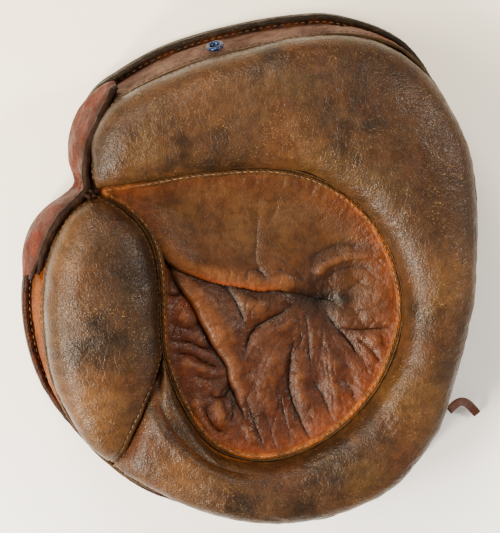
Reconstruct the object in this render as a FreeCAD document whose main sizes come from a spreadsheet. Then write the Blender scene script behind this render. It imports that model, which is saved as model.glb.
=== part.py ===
import FreeCAD, Part
import math
import os

# A pillow-type catcher's mitt for the left hand, lying on its back with the palm up.
# Millimetres. +Z is up out of the palm, +Y runs towards the fingertips, the thumb is on -X.
# The origin is on the surface that the mitt lies on, at the middle of its outline.

V = FreeCAD.Vector
UP = V(0, 0, 1)

SIZES = [
    ("binding_height", 12.0, "rolled back edge, which the mitt lies on"),
    ("binding_width", 6.0, "rolled back edge, across"),
    ("back_level", 9.0, "outer face of the back leather, above the table"),
    ("leather", 2.0, "thickness of the leather"),
    ("gusset_base", 12.2, "lower edge of the side wall"),
    ("gusset_top", 44.0, "upper edge of the side wall"),
    ("welt_level", 44.2, "underside of the face welts"),
    ("welt_height", 2.6, "height of the face welts"),
    ("welt_half", 1.6, "half the width of the face welts"),
    ("face_level", 47.0, "edge of the face leather"),
    ("web_gap", 0.4, "between the side wall and the web strap over it"),
    ("liner_inset", 3.5, "palm liner, in from the face outline"),
    ("liner_level", 28.0, "underside of the palm liner"),
    ("padding_level", 30.4, "underside of the stuffing"),
    ("padding_inset", 5.8, "stuffing, in from the face outline"),
    ("padding_gap", 0.9, "stuffing, under the face leather"),
    ("pocket_bottom", 33.0, "underside of the pocket leather"),
    ("pocket_top", 41.4, "underside of the pocket leather at its seam"),
    ("felt_height", 2.2, "pocket felt"),
    ("split_gap", 0.8, "clearance between the thumb section and the rest"),
    ("notch_gap", 2.4, "thumb section, in from the line of the split, so that it clears as it folds"),
    ("liner_gap", 3.6, "thumb liner, in from the line of the split, so that it clears as it folds"),
    ("panel_gap", 0.3, "back leather, in from the rolled back edge"),
    ("fold_angle", 20.0, "how far the thumb section folds, degrees"),
    ("fold_margin", 1.5, "spare angle at the fold, degrees"),
    ("fold_level", 24.0, "height of the fold line"),
    ("stall_width", 20.0, "finger stall, across"),
    ("stall_height", 15.6, "finger stall, deep"),
    ("stall_wall", 1.0, "finger stall, thickness"),
    ("stall_corner", 5.0, "finger stall, radius of its long corners"),
    ("stall_level", 11.8, "underside of the finger stalls"),
    ("strap_width", 16.0, "wrist strap"),
    ("strap_thickness", 1.8, "wrist strap"),
    ("strap_line", -92.0, "middle of the wrist strap, along Y"),
    ("bar_radius", 1.2, "buckle wire"),
    ("bar_x", -4.0, "buckle bar, along X"),
    ("bar_level", 7.0, "buckle bar, above the table"),
    ("frame_reach", 21.0, "buckle bar to the far side of its frame"),
    ("frame_half", 12.0, "half the width of the buckle frame"),
    ("frame_drop", 2.2, "far side of the frame, below its bar"),
    ("prong_radius", 0.8, "buckle prong"),
    ("rivet_radius", 3.0, "strap rivets"),
    ("eyelet_radius", 3.9, "eyelet ring, to the middle of its wire"),
    ("eyelet_wire", 1.2, "eyelet ring, half its thickness"),
    ("lace_radius", 2.3, "rawhide lace"),
]

# Outline of the back edge and of the face, both from the notch round over the fingertips,
# down past the heel and back up the thumb to the notch.
BACK_OUTLINE = [
    (-99, 46), (-102, 74), (-91, 100), (-75, 113), (-49.6, 126.6), (-17, 136.5), (21, 143.2),
    (51.5, 142.8), (88.5, 127), (112.5, 89), (127, 48), (129.5, -2), (120.5, -56), (98, -109.5),
    (50, -140.5), (21, -145), (-9, -143.5), (-58.5, -128.5), (-93, -101), (-122, -60.5),
    (-130.5, -12), (-118, 28.5),
]
FACE_OUTLINE = [
    (-92, 48), (-94, 67), (-84, 95.5), (-69.5, 105.5), (-46, 116.5), (-21, 124.5), (8, 131),
    (48, 136), (82, 126.5), (106.5, 96), (121.5, 57), (122.8, 0), (114, -50.5), (92.5, -104),
    (49.5, -134), (21.5, -139), (-7.5, -136.7), (-55, -122), (-91, -98), (-114, -61),
    (-120, -11), (-110, 32),
]
POCKET_OUTLINE = [
    (-88, 51), (-60, 56), (-30, 60.5), (12, 61.5), (43, 51), (68, 28), (82, -8), (80, -37),
    (67, -66), (44, -90), (17, -103), (-6, -104), (-27, -95), (-43, -72), (-45, -40),
    (-44, -5), (-52, 22), (-72, 40),
]
POCKET_MIDDLE = (15, -22)
# The section of the mitt that folds with the thumb: up the dart, then round the thumb pad.
THUMB_ZONE = [
    (-88, -125), (-54, -43), (-54, -20), (-55.5, 5), (-62, 27), (-75, 41), (-92, 47.5),
    (-116, 50), (-150, 50), (-150, -125),
]
FOLD_POINT = (-54, -43)
FOLD_DIRECTION = V(0.384, 0.923, 0)

# Cross-sections of the stuffed pads: inner end, outer end and height of the crown.
RIM_SECTIONS = [
    ((-90.5, 51.5), (-93, 59), 56), ((-84, 53), (-91.5, 81), 62), ((-70, 55), (-82.5, 96.5), 67),
    ((-50, 58), (-61, 109.5), 70), ((-26, 60.8), (-34, 120.5), 71), ((0, 62), (0, 129), 71),
    ((25, 59.5), (37, 135), 71), ((45, 50), (68, 131), 71), ((62, 36), (94, 112), 70),
    ((75, 14), (112, 85), 70), ((81, -6), (121.5, 50), 69), ((82, -22), (122.8, 5), 68),
    ((78.5, -43), (119, -27), 67.5), ((69, -63), (112, -57.5), 67), ((55, -81), (99.5, -93), 66.5),
    ((36, -95), (73.5, -122), 66), ((14, -104), (35, -136), 65.5), ((-8, -104), (0, -137.5), 65.5),
    ((-27, -95), (-31.5, -131), 65), ((-42, -75), (-56, -121.5), 64),
    ((-52.8, -44), (-78.6, -106.6), 62),
]
THUMB_SECTIONS = [
    ((-84, 40), (-94, 39.5), 54), ((-75, 35.5), (-104, 30.5), 62), ((-66, 26), (-111, 18), 67),
    ((-60, 12), (-116, 5), 70), ((-57.5, -7), (-118.6, -12), 71), ((-56.5, -27), (-118.6, -36), 71),
    ((-59.5, -50), (-114, -61), 71), ((-67, -69), (-104.5, -80), 68), ((-75.5, -90), (-93, -96), 62),
    ((-81, -102), (-85.5, -103), 54),
]
FINGERS = [
    ("index_stall", -32, 22, 92),
    ("middle_stall", -10, 22, 104),
    ("ring_stall", 12, 22, 104),
    ("little_stall", 34, 18, 92),
]
HAND_OPENING = (25, -84, 78, 54)
LACE_ROUTE = [
    (112.3, -81.8, 22.2), (116.6, -78.6, 18.6), (121.4, -78.2, 12.8), (126.4, -81.6, 6.6),
    (131.3, -87.4, 2.7),
]

doc = FreeCAD.newDocument("catchers_mitt")
sheet = doc.addObject("Spreadsheet::Sheet", "Sizes")
nodes = []


def fill_sheet():
    for row, (alias, value, note) in enumerate(SIZES, start=1):
        sheet.set("A%d" % row, alias)
        sheet.set("B%d" % row, str(value))
        sheet.set("C%d" % row, note)
        sheet.setAlias("B%d" % row, alias)
    doc.recompute()


def size(alias):
    return float(sheet.get(alias))


def bind(obj, prop, formula):
    obj.setExpression(prop, formula)


def keep(obj, label):
    obj.Label = label
    nodes.append(obj)
    return obj


# ---- building blocks ----

def smooth_outline(name, points, level):
    """A closed smooth outline in a level sketch, in four arcs."""
    curve = Part.BSplineCurve()
    curve.interpolate(Points=[V(x, y, 0) for x, y in points], PeriodicFlag=True)
    quarter = len(points) // 4
    cuts = [curve.parameter(V(*points[number * quarter], 0)) for number in (1, 2, 3)]
    cuts = [curve.FirstParameter] + cuts + [curve.LastParameter]
    sketch = doc.addObject("Sketcher::SketchObject", name)
    for first, last in zip(cuts, cuts[1:]):
        arc = curve.copy()
        arc.segment(first, last)
        sketch.addGeometry(arc, False)
    bind(sketch, "Placement.Base.z", level)
    return sketch


def straight_outline(name, points, level):
    """A closed outline of straight edges, level, in a sketch."""
    sketch = doc.addObject("Sketcher::SketchObject", name)
    for start, end in zip(points, points[1:] + points[:1]):
        sketch.addGeometry(Part.LineSegment(V(*start, 0), V(*end, 0)), False)
    bind(sketch, "Placement.Base.z", level)
    return sketch


def box_outline(name, x, y, width, depth, level):
    corners = [(x - width / 2, y - depth / 2), (x + width / 2, y - depth / 2),
               (x + width / 2, y + depth / 2), (x - width / 2, y + depth / 2)]
    return straight_outline(name, corners, level)


def scaled(points, share, middle=(0, 0)):
    """The outline's points drawn towards its middle."""
    return [(middle[0] + (x - middle[0]) * share, middle[1] + (y - middle[1]) * share)
            for x, y in points]


def grown(points, amount):
    """The outline's points moved outwards by amount, square to the outline, which runs clockwise."""
    moved = []
    for before, point, after in zip(points[-1:] + points[:-1], points, points[1:] + points[:1]):
        along = V(after[0] - before[0], after[1] - before[1], 0).normalize()
        moved.append((point[0] - along.y * amount, point[1] + along.x * amount))
    return moved


def raised(name, source, height):
    """A solid of the outline's shape and of the given height, a formula."""
    solid = doc.addObject("Part::Extrusion", name)
    solid.Base = source
    solid.DirMode = "Custom"
    solid.Dir = UP
    solid.Solid = True
    bind(solid, "LengthFwd", height)
    return solid


def lofted(name, sections):
    solid = doc.addObject("Part::Loft", name)
    solid.Sections = sections
    solid.Solid = True
    solid.Ruled = True
    return solid


def cut(name, base, tool):
    result = doc.addObject("Part::Cut", name)
    result.Base = base
    result.Tool = tool
    return result


def common(name, base, tool):
    result = doc.addObject("Part::Common", name)
    result.Base = base
    result.Tool = tool
    return result


def ring(name, points, outer, inner, level, height):
    """A wall along an outline, from inner to outer."""
    outside = smooth_outline(name + "_outside", grown(points, outer), level)
    inside = smooth_outline(name + "_inside", grown(points, inner), level)
    return cut(name, raised(name + "_outer", outside, height), raised(name + "_inner", inside, height))


# ---- where the thumb section parts from the rest ----

def split_tools():
    half_gap = size("split_gap") / 2
    amounts = (("thumb_side", size("notch_gap")), ("liner_side", size("liner_gap")), ("rest_side", -half_gap))
    zones = [raised(name, straight_outline(name + "_outline", grown(THUMB_ZONE, amount), "-5"), "100")
             for name, amount in amounts]
    # A box whose left face is the plane that the thumb section may reach when it has folded.
    wedge = doc.addObject("Part::Box", "fold_clearance")
    wedge.Length = 80
    wedge.Width = 260
    wedge.Height = 140
    across = FOLD_DIRECTION.cross(UP)
    lean = FreeCAD.Rotation(FOLD_DIRECTION, -(size("fold_angle") + size("fold_margin")))
    turn = lean.multiply(FreeCAD.Rotation(across, FOLD_DIRECTION, UP, "XYZ"))
    start = V(FOLD_POINT[0], FOLD_POINT[1], size("fold_level")) - across * half_gap
    corner = start + turn.multVec(V(0, -130, -40))
    wedge.Placement = FreeCAD.Placement(corner, turn)
    return (*zones, wedge)


def split(name, thumb_name, whole, tools):
    """The same strip of leather on both sides of the dart, as two separate pieces."""
    thumb_side, liner_side, rest_side, wedge = tools
    keep(cut(name, whole, rest_side), name)
    near = common(thumb_name + "_near", whole, liner_side if thumb_name == "thumb_liner" else thumb_side)
    keep(cut(thumb_name, near, wedge), thumb_name)


# ---- sides, back and lining ----

def back_binding(tools):
    whole = ring("binding", BACK_OUTLINE, 0, -size("binding_width"), "0", "Sizes.binding_height")
    split("back_binding", "thumb_binding", whole, tools)


def side_wall(name, outer, inner):
    """A sloping wall from the back edge up to the face, from inner to outer."""
    def solid(part, amount):
        low = smooth_outline("%s_%s_low" % (name, part), grown(BACK_OUTLINE, amount), "Sizes.gusset_base")
        high = smooth_outline("%s_%s_high" % (name, part), grown(FACE_OUTLINE, amount), "Sizes.gusset_top")
        return lofted("%s_%s" % (name, part), [low, high])
    return cut(name, solid("outside", outer), solid("inside", inner))


def gusset(tools):
    whole = side_wall("gusset", 0, -size("leather"))
    split("rim_gusset", "thumb_gusset", whole, tools)


def face_welt(tools):
    half = size("welt_half")
    whole = ring("welt", FACE_OUTLINE, half, -half, "Sizes.welt_level", "Sizes.welt_height")
    split("face_welt", "thumb_welt", whole, tools)


def palm_liner(tools):
    outline = smooth_outline("liner_edge", grown(FACE_OUTLINE, -size("liner_inset")), "Sizes.liner_level")
    sheet_shape = raised("liner", outline, "Sizes.leather")
    split("palm_liner", "thumb_liner", sheet_shape, tools)


def back_panel(tools):
    inset = size("binding_width") + size("panel_gap")
    outline = smooth_outline("panel_edge", grown(BACK_OUTLINE, -inset), "Sizes.back_level")
    whole = raised("panel", outline, "Sizes.leather")
    hole = box_outline("hand_hole", *HAND_OPENING, "0")
    open_panel = cut("open_panel", whole, raised("hand_hole_tool", hole, "40"))
    split("back_panel", "thumb_back_panel", open_panel, tools)


# ---- stuffed pads ----

def pad_section(body, name, inner, outer, profile):
    """An upright sketch from inner to outer; profile gives its closed edges for that width."""
    sketch = body.newObject("Sketcher::SketchObject", name)
    span = V(outer[0] - inner[0], outer[1] - inner[1], 0)
    along = V(span).normalize()
    turn = FreeCAD.Rotation(along, UP, along.cross(UP), "XYZ")
    sketch.Placement = FreeCAD.Placement(V(inner[0], inner[1], 0), turn)
    sketch.addGeometry(profile(span.Length), False)
    return sketch


def leather_profile(top):
    def edges(width):
        level = size("face_level")
        thick = size("leather")
        over = Part.Arc(V(0, level, 0), V(width / 2, top, 0), V(width, level, 0))
        under = Part.Arc(V(width - thick, level, 0), V(width / 2, top - thick, 0), V(thick, level, 0))
        return [over, Part.LineSegment(V(width, level, 0), V(width - thick, level, 0)), under,
                Part.LineSegment(V(thick, level, 0), V(0, level, 0))]
    return edges


def stuffing_profile(top):
    def edges(width):
        low = size("padding_level")
        level = size("face_level") - 1
        inset = min(size("padding_inset"), width * 0.28)
        crown = top - size("leather") - size("padding_gap") - inset * 0.1
        over = Part.Arc(V(inset, level, 0), V(width / 2, crown, 0), V(width - inset, level, 0))
        return [over, Part.LineSegment(V(width - inset, level, 0), V(width - inset, low, 0)),
                Part.LineSegment(V(width - inset, low, 0), V(inset, low, 0)),
                Part.LineSegment(V(inset, low, 0), V(inset, level, 0))]
    return edges


def pad(name, sections, profile):
    body = doc.addObject("PartDesign::Body", name)
    sketches = [pad_section(body, "%s_%02d" % (name, number), inner, outer, profile(top))
                for number, (inner, outer, top) in enumerate(sections)]
    loft = body.newObject("PartDesign::AdditiveLoft", name + "_loft")
    loft.Profile = sketches[0]
    loft.Sections = sketches[1:]
    loft.Ruled = False
    return body


def pads(tools):
    wedge = tools[-1]
    keep(pad("rim_leather_body", RIM_SECTIONS, leather_profile), "face_rim_leather")
    keep(pad("rim_stuffing_body", RIM_SECTIONS, stuffing_profile), "rim_padding")
    leather = pad("thumb_leather_body", THUMB_SECTIONS, leather_profile)
    stuffing = pad("thumb_stuffing_body", THUMB_SECTIONS, stuffing_profile)
    keep(cut("thumb_leather_cut", leather, wedge), "thumb_face_leather")
    keep(cut("thumb_stuffing_cut", stuffing, wedge), "thumb_padding")


# ---- pocket ----

def pocket():
    def bowl(name, lift):
        low_points = scaled(POCKET_OUTLINE, 0.62, POCKET_MIDDLE)
        low = smooth_outline(name + "_low", low_points, "Sizes.pocket_bottom" + lift)
        high = smooth_outline(name + "_high", POCKET_OUTLINE, "Sizes.pocket_top" + lift)
        return lofted(name, [low, high])
    keep(cut("pocket_shell", bowl("pocket_under", ""), bowl("pocket_over", " + Sizes.leather")),
         "pocket_leather")
    keep(ring("pocket_bead", POCKET_OUTLINE, 0.4, -2.4, "Sizes.welt_level", "Sizes.welt_height"),
         "pocket_welt")
    floor = smooth_outline("felt_outline", scaled(POCKET_OUTLINE, 0.55, POCKET_MIDDLE),
                           "Sizes.padding_level")
    keep(raised("felt", floor, "Sizes.felt_height"), "pocket_felt")


# ---- stalls for the fingers and the thumb ----

def stall(label, x, start, end):
    def tube(name, shrink, first, last):
        wide = size("stall_width") - 2 * shrink
        high = size("stall_height") - 2 * shrink
        block = doc.addObject("Part::Box", name)
        bind(block, "Length", "Sizes.stall_width - %g" % (2 * shrink))
        bind(block, "Height", "Sizes.stall_height - %g" % (2 * shrink))
        block.Width = last - first
        low = size("stall_level") + size("stall_height") / 2 - high / 2
        block.Placement = FreeCAD.Placement(V(x - wide / 2, first, low), FreeCAD.Rotation())
        block.recompute()
        rounded = doc.addObject("Part::Fillet", name + "_round")
        rounded.Base = block
        radius = size("stall_corner") - shrink
        along = [number for number, edge in enumerate(block.Shape.Edges, start=1)
                 if abs(edge.Vertexes[0].Y - edge.Vertexes[1].Y) > 1]
        rounded.Edges = [(number, radius, radius) for number in along]
        return rounded
    wall = size("stall_wall")
    keep(cut(label + "_cut", tube(label + "_out", 0, start, end),
             tube(label + "_in", wall, start - 1, end - wall)), label)


def stalls():
    for label, x, start, end in FINGERS:
        stall(label, x, start, end)
    stall("thumb_stall", -90, -62, 16)


# ---- web strap over the notch ----

def web_strap(tools):
    thumb_side, _, rest_side, _ = tools
    whole = side_wall("web_wall", size("web_gap") + size("leather"), size("web_gap"))
    upper = box_outline("web_upper_area", -105, 73, 60, 52, "Sizes.gusset_base")
    lower = box_outline("web_lower_area", -120, 28, 60, 38, "Sizes.gusset_base")
    upper_area = raised("web_upper_block", upper, "40")
    lower_area = raised("web_lower_block", lower, "40")
    upper_part = common("web_upper_part", whole, upper_area)
    lower_part = common("web_lower_part", whole, lower_area)
    keep(cut("web_upper", upper_part, rest_side), "web_strap_upper")
    keep(common("web_lower", lower_part, thumb_side), "web_strap_lower")


# ---- wrist strap and buckle ----

def side_profile(name, points, y, depth):
    """A strip whose side view, in X and Z, is the closed outline; it runs along Y."""
    sketch = doc.addObject("Sketcher::SketchObject", name + "_side")
    for start, end in zip(points, points[1:] + points[:1]):
        sketch.addGeometry(Part.LineSegment(V(*start, 0), V(*end, 0)), False)
    sketch.Placement = FreeCAD.Placement(V(0, y, 0), FreeCAD.Rotation(V(1, 0, 0), 90))
    strip = doc.addObject("Part::Extrusion", name)
    strip.Base = sketch
    strip.DirMode = "Custom"
    strip.Dir = V(0, 1, 0)
    strip.Solid = True
    strip.Symmetric = True
    bind(strip, "LengthFwd", depth)
    return strip


def strip_points(path, thickness):
    """Both faces of a strip that follows a path in X and Z, thickness above the path."""
    return list(path) + [(x, z + thickness) for x, z in reversed(path)]


def wrist_strap():
    thick = size("strap_thickness")
    line = size("strap_line")
    path = [(86, 7.0), (22, 7.0), (-8, 3.0), (-30, 3.0)]
    strap = side_profile("strap_strip", strip_points(path, thick), line, "Sizes.strap_width")
    slot = box_outline("prong_slot", 1.25, line, 17.5, 2.8, "0")
    keep(cut("strap", strap, raised("prong_slot_tool", slot, "8.9")), "wrist_strap")
    chape = [(-44, 6.9), (-7, 6.9)]
    keep(side_profile("chape", strip_points(chape, thick), line, "Sizes.strap_width - 2"), "buckle_chape")
    keeper_out = side_profile("keeper_out", [(-24, 1.4), (-18, 1.4), (-18, 6.3), (-24, 6.3)], line,
                              "Sizes.strap_width + 3.2")
    keeper_in = side_profile("keeper_in", [(-25, 2.6), (-17, 2.6), (-17, 5.2), (-25, 5.2)], line,
                             "Sizes.strap_width + 0.8")
    keep(cut("keeper", keeper_out, keeper_in), "strap_keeper")


def wire(name, start, end, radius):
    bar = doc.addObject("Part::Cylinder", name)
    bind(bar, "Radius", radius)
    bar.Height = (end - start).Length
    bar.Placement = FreeCAD.Placement(start, FreeCAD.Rotation(UP, end - start))
    return bar


def joined(name, shapes, label):
    result = doc.addObject("Part::MultiFuse", name)
    result.Shapes = shapes
    return keep(result, label)


def buckle():
    line = size("strap_line")
    near = V(size("bar_x"), line, size("bar_level"))
    far = near + V(size("frame_reach"), 0, -size("frame_drop"))
    half = V(0, size("frame_half"), 0)
    sides = [("bar", near - half, near + half), ("end", far - half, far + half),
             ("low", near - half, far - half), ("high", near + half, far + half)]
    wires = [wire("frame_" + side, start, end, "Sizes.bar_radius") for side, start, end in sides]
    for number, corner in enumerate((near - half, near + half, far - half, far + half)):
        ball = doc.addObject("Part::Sphere", "frame_corner_%d" % number)
        bind(ball, "Radius", "Sizes.bar_radius")
        ball.Placement = FreeCAD.Placement(corner, FreeCAD.Rotation())
        wires.append(ball)
    joined("frame", wires, "buckle_frame")
    root = near + V(2.3, 0, -0.9)
    tip = far + V(1.6, 0, -2.3)
    shank = wire("prong_shank", root, tip, "Sizes.prong_radius")
    eye = wire("prong_eye", near - V(0, 1.1, 0), near + V(0, 1.1, 0), "Sizes.bar_radius + 1.3")
    eye_hole = wire("prong_hole", near - V(0, 4, 0), near + V(0, 4, 0), "Sizes.bar_radius + 0.15")
    joined("prong", [shank, cut("prong_loop", eye, eye_hole)], "buckle_prong")


def strap_rivets():
    line = size("strap_line")
    rivets = []
    for number, (x, level) in enumerate([(78, 6.0), (-38, 5.9)]):
        for side in (-4, 4):
            head = wire("rivet_%d_%d" % (number, side + 4), V(x, line + side, level - 0.3),
                        V(x, line + side, level + 0.9), "Sizes.rivet_radius")
            rivets.append(head)
    group = doc.addObject("Part::Compound", "rivets")
    group.Links = rivets
    keep(group, "strap_rivets")


# ---- eyelets and rawhide lace ----

def eyelet(name, place, facing, label):
    ring_shape = doc.addObject("Part::Torus", name)
    bind(ring_shape, "Radius1", "Sizes.eyelet_radius")
    bind(ring_shape, "Radius2", "Sizes.eyelet_wire")
    ring_shape.Placement = FreeCAD.Placement(V(*place), FreeCAD.Rotation(UP, V(*facing)))
    keep(ring_shape, label)


def route_wire(points):
    """Straight runs joined by tangent arcs, each as large as its two runs allow."""
    corners = [V(*point) for point in points]
    edges = []
    start = corners[0]
    for before, corner, after in zip(corners, corners[1:], corners[2:]):
        back = (before - corner)
        ahead = (after - corner)
        trim = 0.45 * min(back.Length, ahead.Length)
        back.normalize()
        ahead.normalize()
        half_turn = (math.pi - back.getAngle(ahead)) / 2
        radius = trim / math.tan(half_turn)
        print("lace bend radius %.1f mm" % radius)
        middle = corner + (back + ahead).normalize() * (radius / math.cos(half_turn) - radius)
        edges.append(Part.LineSegment(start, corner + back * trim).toShape())
        edges.append(Part.Arc(corner + back * trim, middle, corner + ahead * trim).toShape())
        start = corner + ahead * trim
    edges.append(Part.LineSegment(start, corners[-1]).toShape())
    return Part.Wire(edges)


def lace_tail():
    route = route_wire(LACE_ROUTE)
    direction = V(*LACE_ROUTE[1]) - V(*LACE_ROUTE[0])
    radius = size("lace_radius")
    section = Part.Wire([Part.Circle(V(*LACE_ROUTE[0]), direction, radius).toShape()])
    tube = doc.addObject("Part::Feature", "lace_tail_tube")
    tube.Shape = route.makePipeShell([section], True, False)
    expected = math.pi * radius ** 2 * route.Length
    print("lace length %.1f mm, volume %.0f of %.0f" % (route.Length, tube.Shape.Volume, expected))
    keep(tube, "lace_tail")


def build():
    fill_sheet()
    tools = split_tools()
    back_binding(tools)
    gusset(tools)
    face_welt(tools)
    palm_liner(tools)
    back_panel(tools)
    pads(tools)
    pocket()
    stalls()
    web_strap(tools)
    wrist_strap()
    buckle()
    strap_rivets()
    eyelet("top_eyelet", (-23, 128.9, 36), (-0.25, 0.9, 0.36), "gusset_eyelet")
    lace_tail()
    doc.recompute()


def export():
    for obj in doc.Objects:
        if "Invalid" in obj.State or "Error" in obj.State:
            raise RuntimeError("%s failed: %s" % (obj.Name, obj.State))
    os.makedirs("parts", exist_ok=True)
    for node in nodes:
        shape = node.Shape
        if shape.isNull() or not shape.isValid() or not shape.Solids:
            raise RuntimeError("%s has no valid shape" % node.Label)
        shape.exportStep("parts/%s.step" % node.Label)
        box = shape.BoundBox
        print("%-20s solids %d  volume %9.0f  z %6.2f to %6.2f"
              % (node.Label, len(shape.Solids), shape.Volume, box.ZMin, box.ZMax))


build()
export()
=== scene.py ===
import math
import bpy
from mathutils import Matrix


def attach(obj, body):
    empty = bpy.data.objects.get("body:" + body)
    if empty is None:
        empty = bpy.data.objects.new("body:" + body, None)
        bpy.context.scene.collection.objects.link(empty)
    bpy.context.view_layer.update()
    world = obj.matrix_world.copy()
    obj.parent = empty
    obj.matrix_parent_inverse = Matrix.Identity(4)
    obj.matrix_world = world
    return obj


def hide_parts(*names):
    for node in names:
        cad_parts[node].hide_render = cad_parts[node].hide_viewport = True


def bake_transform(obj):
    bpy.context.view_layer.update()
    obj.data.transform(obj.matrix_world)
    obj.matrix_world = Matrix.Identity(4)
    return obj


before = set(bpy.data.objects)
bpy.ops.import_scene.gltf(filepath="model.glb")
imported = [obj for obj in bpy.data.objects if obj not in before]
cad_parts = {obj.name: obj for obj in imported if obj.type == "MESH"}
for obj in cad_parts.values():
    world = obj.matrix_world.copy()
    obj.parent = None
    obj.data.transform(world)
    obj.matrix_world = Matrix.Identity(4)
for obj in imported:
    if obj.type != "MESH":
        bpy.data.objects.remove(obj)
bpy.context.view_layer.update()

from types import SimpleNamespace

import bpy
import numpy as np
from mathutils import Matrix, Vector

MM = 0.001
UP = np.array([0.0, 0.0, 1.0])
TINY = 1e-9

# ---------------------------------------------------------------- outlines, in millimetres

BACK_OUTLINE = [
    (-99, 46), (-102, 74), (-91, 100), (-75, 113), (-49.6, 126.6), (-17, 136.5), (21, 143.2),
    (51.5, 142.8), (88.5, 127), (112.5, 89), (127, 48), (129.5, -2), (120.5, -56), (98, -109.5),
    (50, -140.5), (21, -145), (-9, -143.5), (-58.5, -128.5), (-93, -101), (-122, -60.5),
    (-130.5, -12), (-118, 28.5),
]
FACE_OUTLINE = [
    (-92, 48), (-94, 67), (-84, 95.5), (-69.5, 105.5), (-46, 116.5), (-21, 124.5), (8, 131),
    (48, 136), (82, 126.5), (106.5, 96), (121.5, 57), (122.8, 0), (114, -50.5), (92.5, -104),
    (49.5, -134), (21.5, -139), (-7.5, -136.7), (-55, -122), (-91, -98), (-114, -61),
    (-120, -11), (-110, 32),
]
POCKET_SEAM = [
    (-90, 50.5), (-60, 56), (-30, 60.5), (12, 61.5), (43, 51), (68, 28), (82, -8), (80, -37),
    (67, -66), (44, -90), (17, -103), (-6, -104), (-27, -95), (-43, -72), (-53, -46),
    (-55, -25), (-56.5, 5), (-62, 24), (-74, 38),
]
# Where each closed outline passes from the palm section to the thumb section, as a point number.
BACK_DART = 17.55
POCKET_DART = 14.0

# Cross-sections of the stuffed pads: inner end, outer end, crown height, height of the inner seam.
RIM_SECTIONS = [
    ((-90.2, 51), (-92, 54), 47, 46), ((-89, 52), (-93.5, 64), 57, 46),
    ((-84, 53), (-93, 80), 63, 46), ((-70, 55), (-83, 97), 68, 46),
    ((-50, 58), (-62, 109.5), 70, 46), ((-26, 60.8), (-34, 121), 71, 46),
    ((0, 62), (0, 129.5), 71, 46), ((25, 59.5), (35, 135.5), 71, 46),
    ((45, 50), (68, 131.5), 71, 46), ((62, 36), (94, 113), 70, 46),
    ((75, 14), (112.5, 86), 70, 46), ((81, -6), (121.8, 53), 69, 46),
    ((82, -22), (123, 5), 69, 46), ((78.5, -43), (118.5, -29), 68, 46),
    ((69, -63), (111.5, -58.5), 67.5, 46), ((55, -81), (99.5, -93), 67, 46),
    ((36, -95), (73.5, -122), 66.5, 46), ((14, -104), (35, -137), 66, 46),
    ((-8, -104), (0, -138.6), 66, 46), ((-27, -95), (-31.5, -131.5), 66, 46),
    ((-43, -73), (-56, -121.5), 65, 47), ((-50, -55), (-72, -112), 63, 50),
    ((-53.3, -45.5), (-79.2, -106.8), 57, 50), ((-55.5, -45), (-82, -105.8), 53, 45),
]
THUMB_SECTIONS = [
    ((-89.5, 46), (-92, 45.6), 47, 46), ((-85, 45), (-98, 43), 57, 46),
    ((-76, 38.8), (-106.5, 35), 64, 46), ((-65.5, 28), (-113, 22), 69, 46),
    ((-59.5, 13), (-118, 7), 71, 46), ((-56.8, -7), (-120, -12), 72, 46),
    ((-55.5, -27), (-119, -36), 72, 46), ((-55.2, -44), (-115, -57), 71, 49),
    ((-61.5, -63), (-107, -75), 69, 55), ((-68, -79), (-98, -90.5), 66, 56),
    ((-74.5, -94), (-88.5, -99.5), 60, 53), ((-79.6, -105.8), (-81.5, -104.5), 47, 46),
]
SEAM_LEVEL = 45.5
GUSSET_FOOT = 9.2
FLANGE = 6.2
FOLD_POINT = np.array([-54.0, -43.0])
FOLD_ACROSS = np.array([-0.923, 0.384])

STITCH_RINGS = 7
STITCH_SIDES = 8

rng = np.random.default_rng(7)


# ---------------------------------------------------------------- numbers on grids

def smooth_curve(points, count, closed=True, first=0.0, last=None):
    """Catmull-Rom through the points, at even steps of the point number."""
    pts = np.array(points, float)
    total = len(pts) if closed else len(pts) - 1
    last = total if last is None else last
    at = np.linspace(first, last, count, endpoint=not (closed and first == 0 and last == total))
    base = np.floor(at).astype(int)
    if not closed:
        base = np.clip(base, 0, total - 1)
    f = (at - base)[:, None]

    def pick(offset):
        index = base + offset
        if closed:
            return pts[index % len(pts)]
        low, high = pts[0] * 2 - pts[1], pts[-1] * 2 - pts[-2]
        out = pts[np.clip(index, 0, total)].copy()
        out[index < 0] = low
        out[index > total] = high
        return out
    a, b, c, d = pick(-1), pick(0), pick(1), pick(2)
    return 0.5 * (2 * b + (c - a) * f + (2 * a - 5 * b + 4 * c - d) * f ** 2
                  + (3 * b - a - 3 * c + d) * f ** 3)


def smoothstep(x, low=0.0, high=1.0):
    f = np.clip((np.asarray(x, float) - low) / (high - low), 0, 1)
    return f * f * (3 - 2 * f)


def softplus(x, soft):
    return soft * np.logaddexp(0, x / soft)


def line_at(distance, width, at=0.0):
    """One on a line, falling to nothing on both sides of it."""
    return np.exp(-((distance - at) / width) ** 2)


def bump_at(x, y, cx, cy, radius):
    """One at a place, falling to nothing at about twice the radius."""
    return np.exp(-((x - cx) ** 2 + (y - cy) ** 2) / radius ** 2)


def spots(x, y, *places):
    """Soft round spots added up. Each place: its middle, radius and strength."""
    return sum(bump_at(x, y, cx, cy, radius) * strength for cx, cy, radius, strength in places)


def unit(vectors):
    """The same directions, one long."""
    return vectors / (np.linalg.norm(vectors, axis=-1, keepdims=True) + TINY)


def distances(path):
    """How far along its path each point lies."""
    return np.concatenate([[0], np.cumsum(np.linalg.norm(np.diff(path, axis=0), axis=1))])


def sample(at, places, values):
    """The columns of values, read off at new places."""
    return np.stack([np.interp(at, places, values[:, k]) for k in range(values.shape[1])], 1)


def even(path, step):
    """The same path at even spacing."""
    lengths = distances(path)
    return sample(np.linspace(0, lengths[-1], max(2, int(round(lengths[-1] / step)) + 1)), lengths, path)


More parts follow.
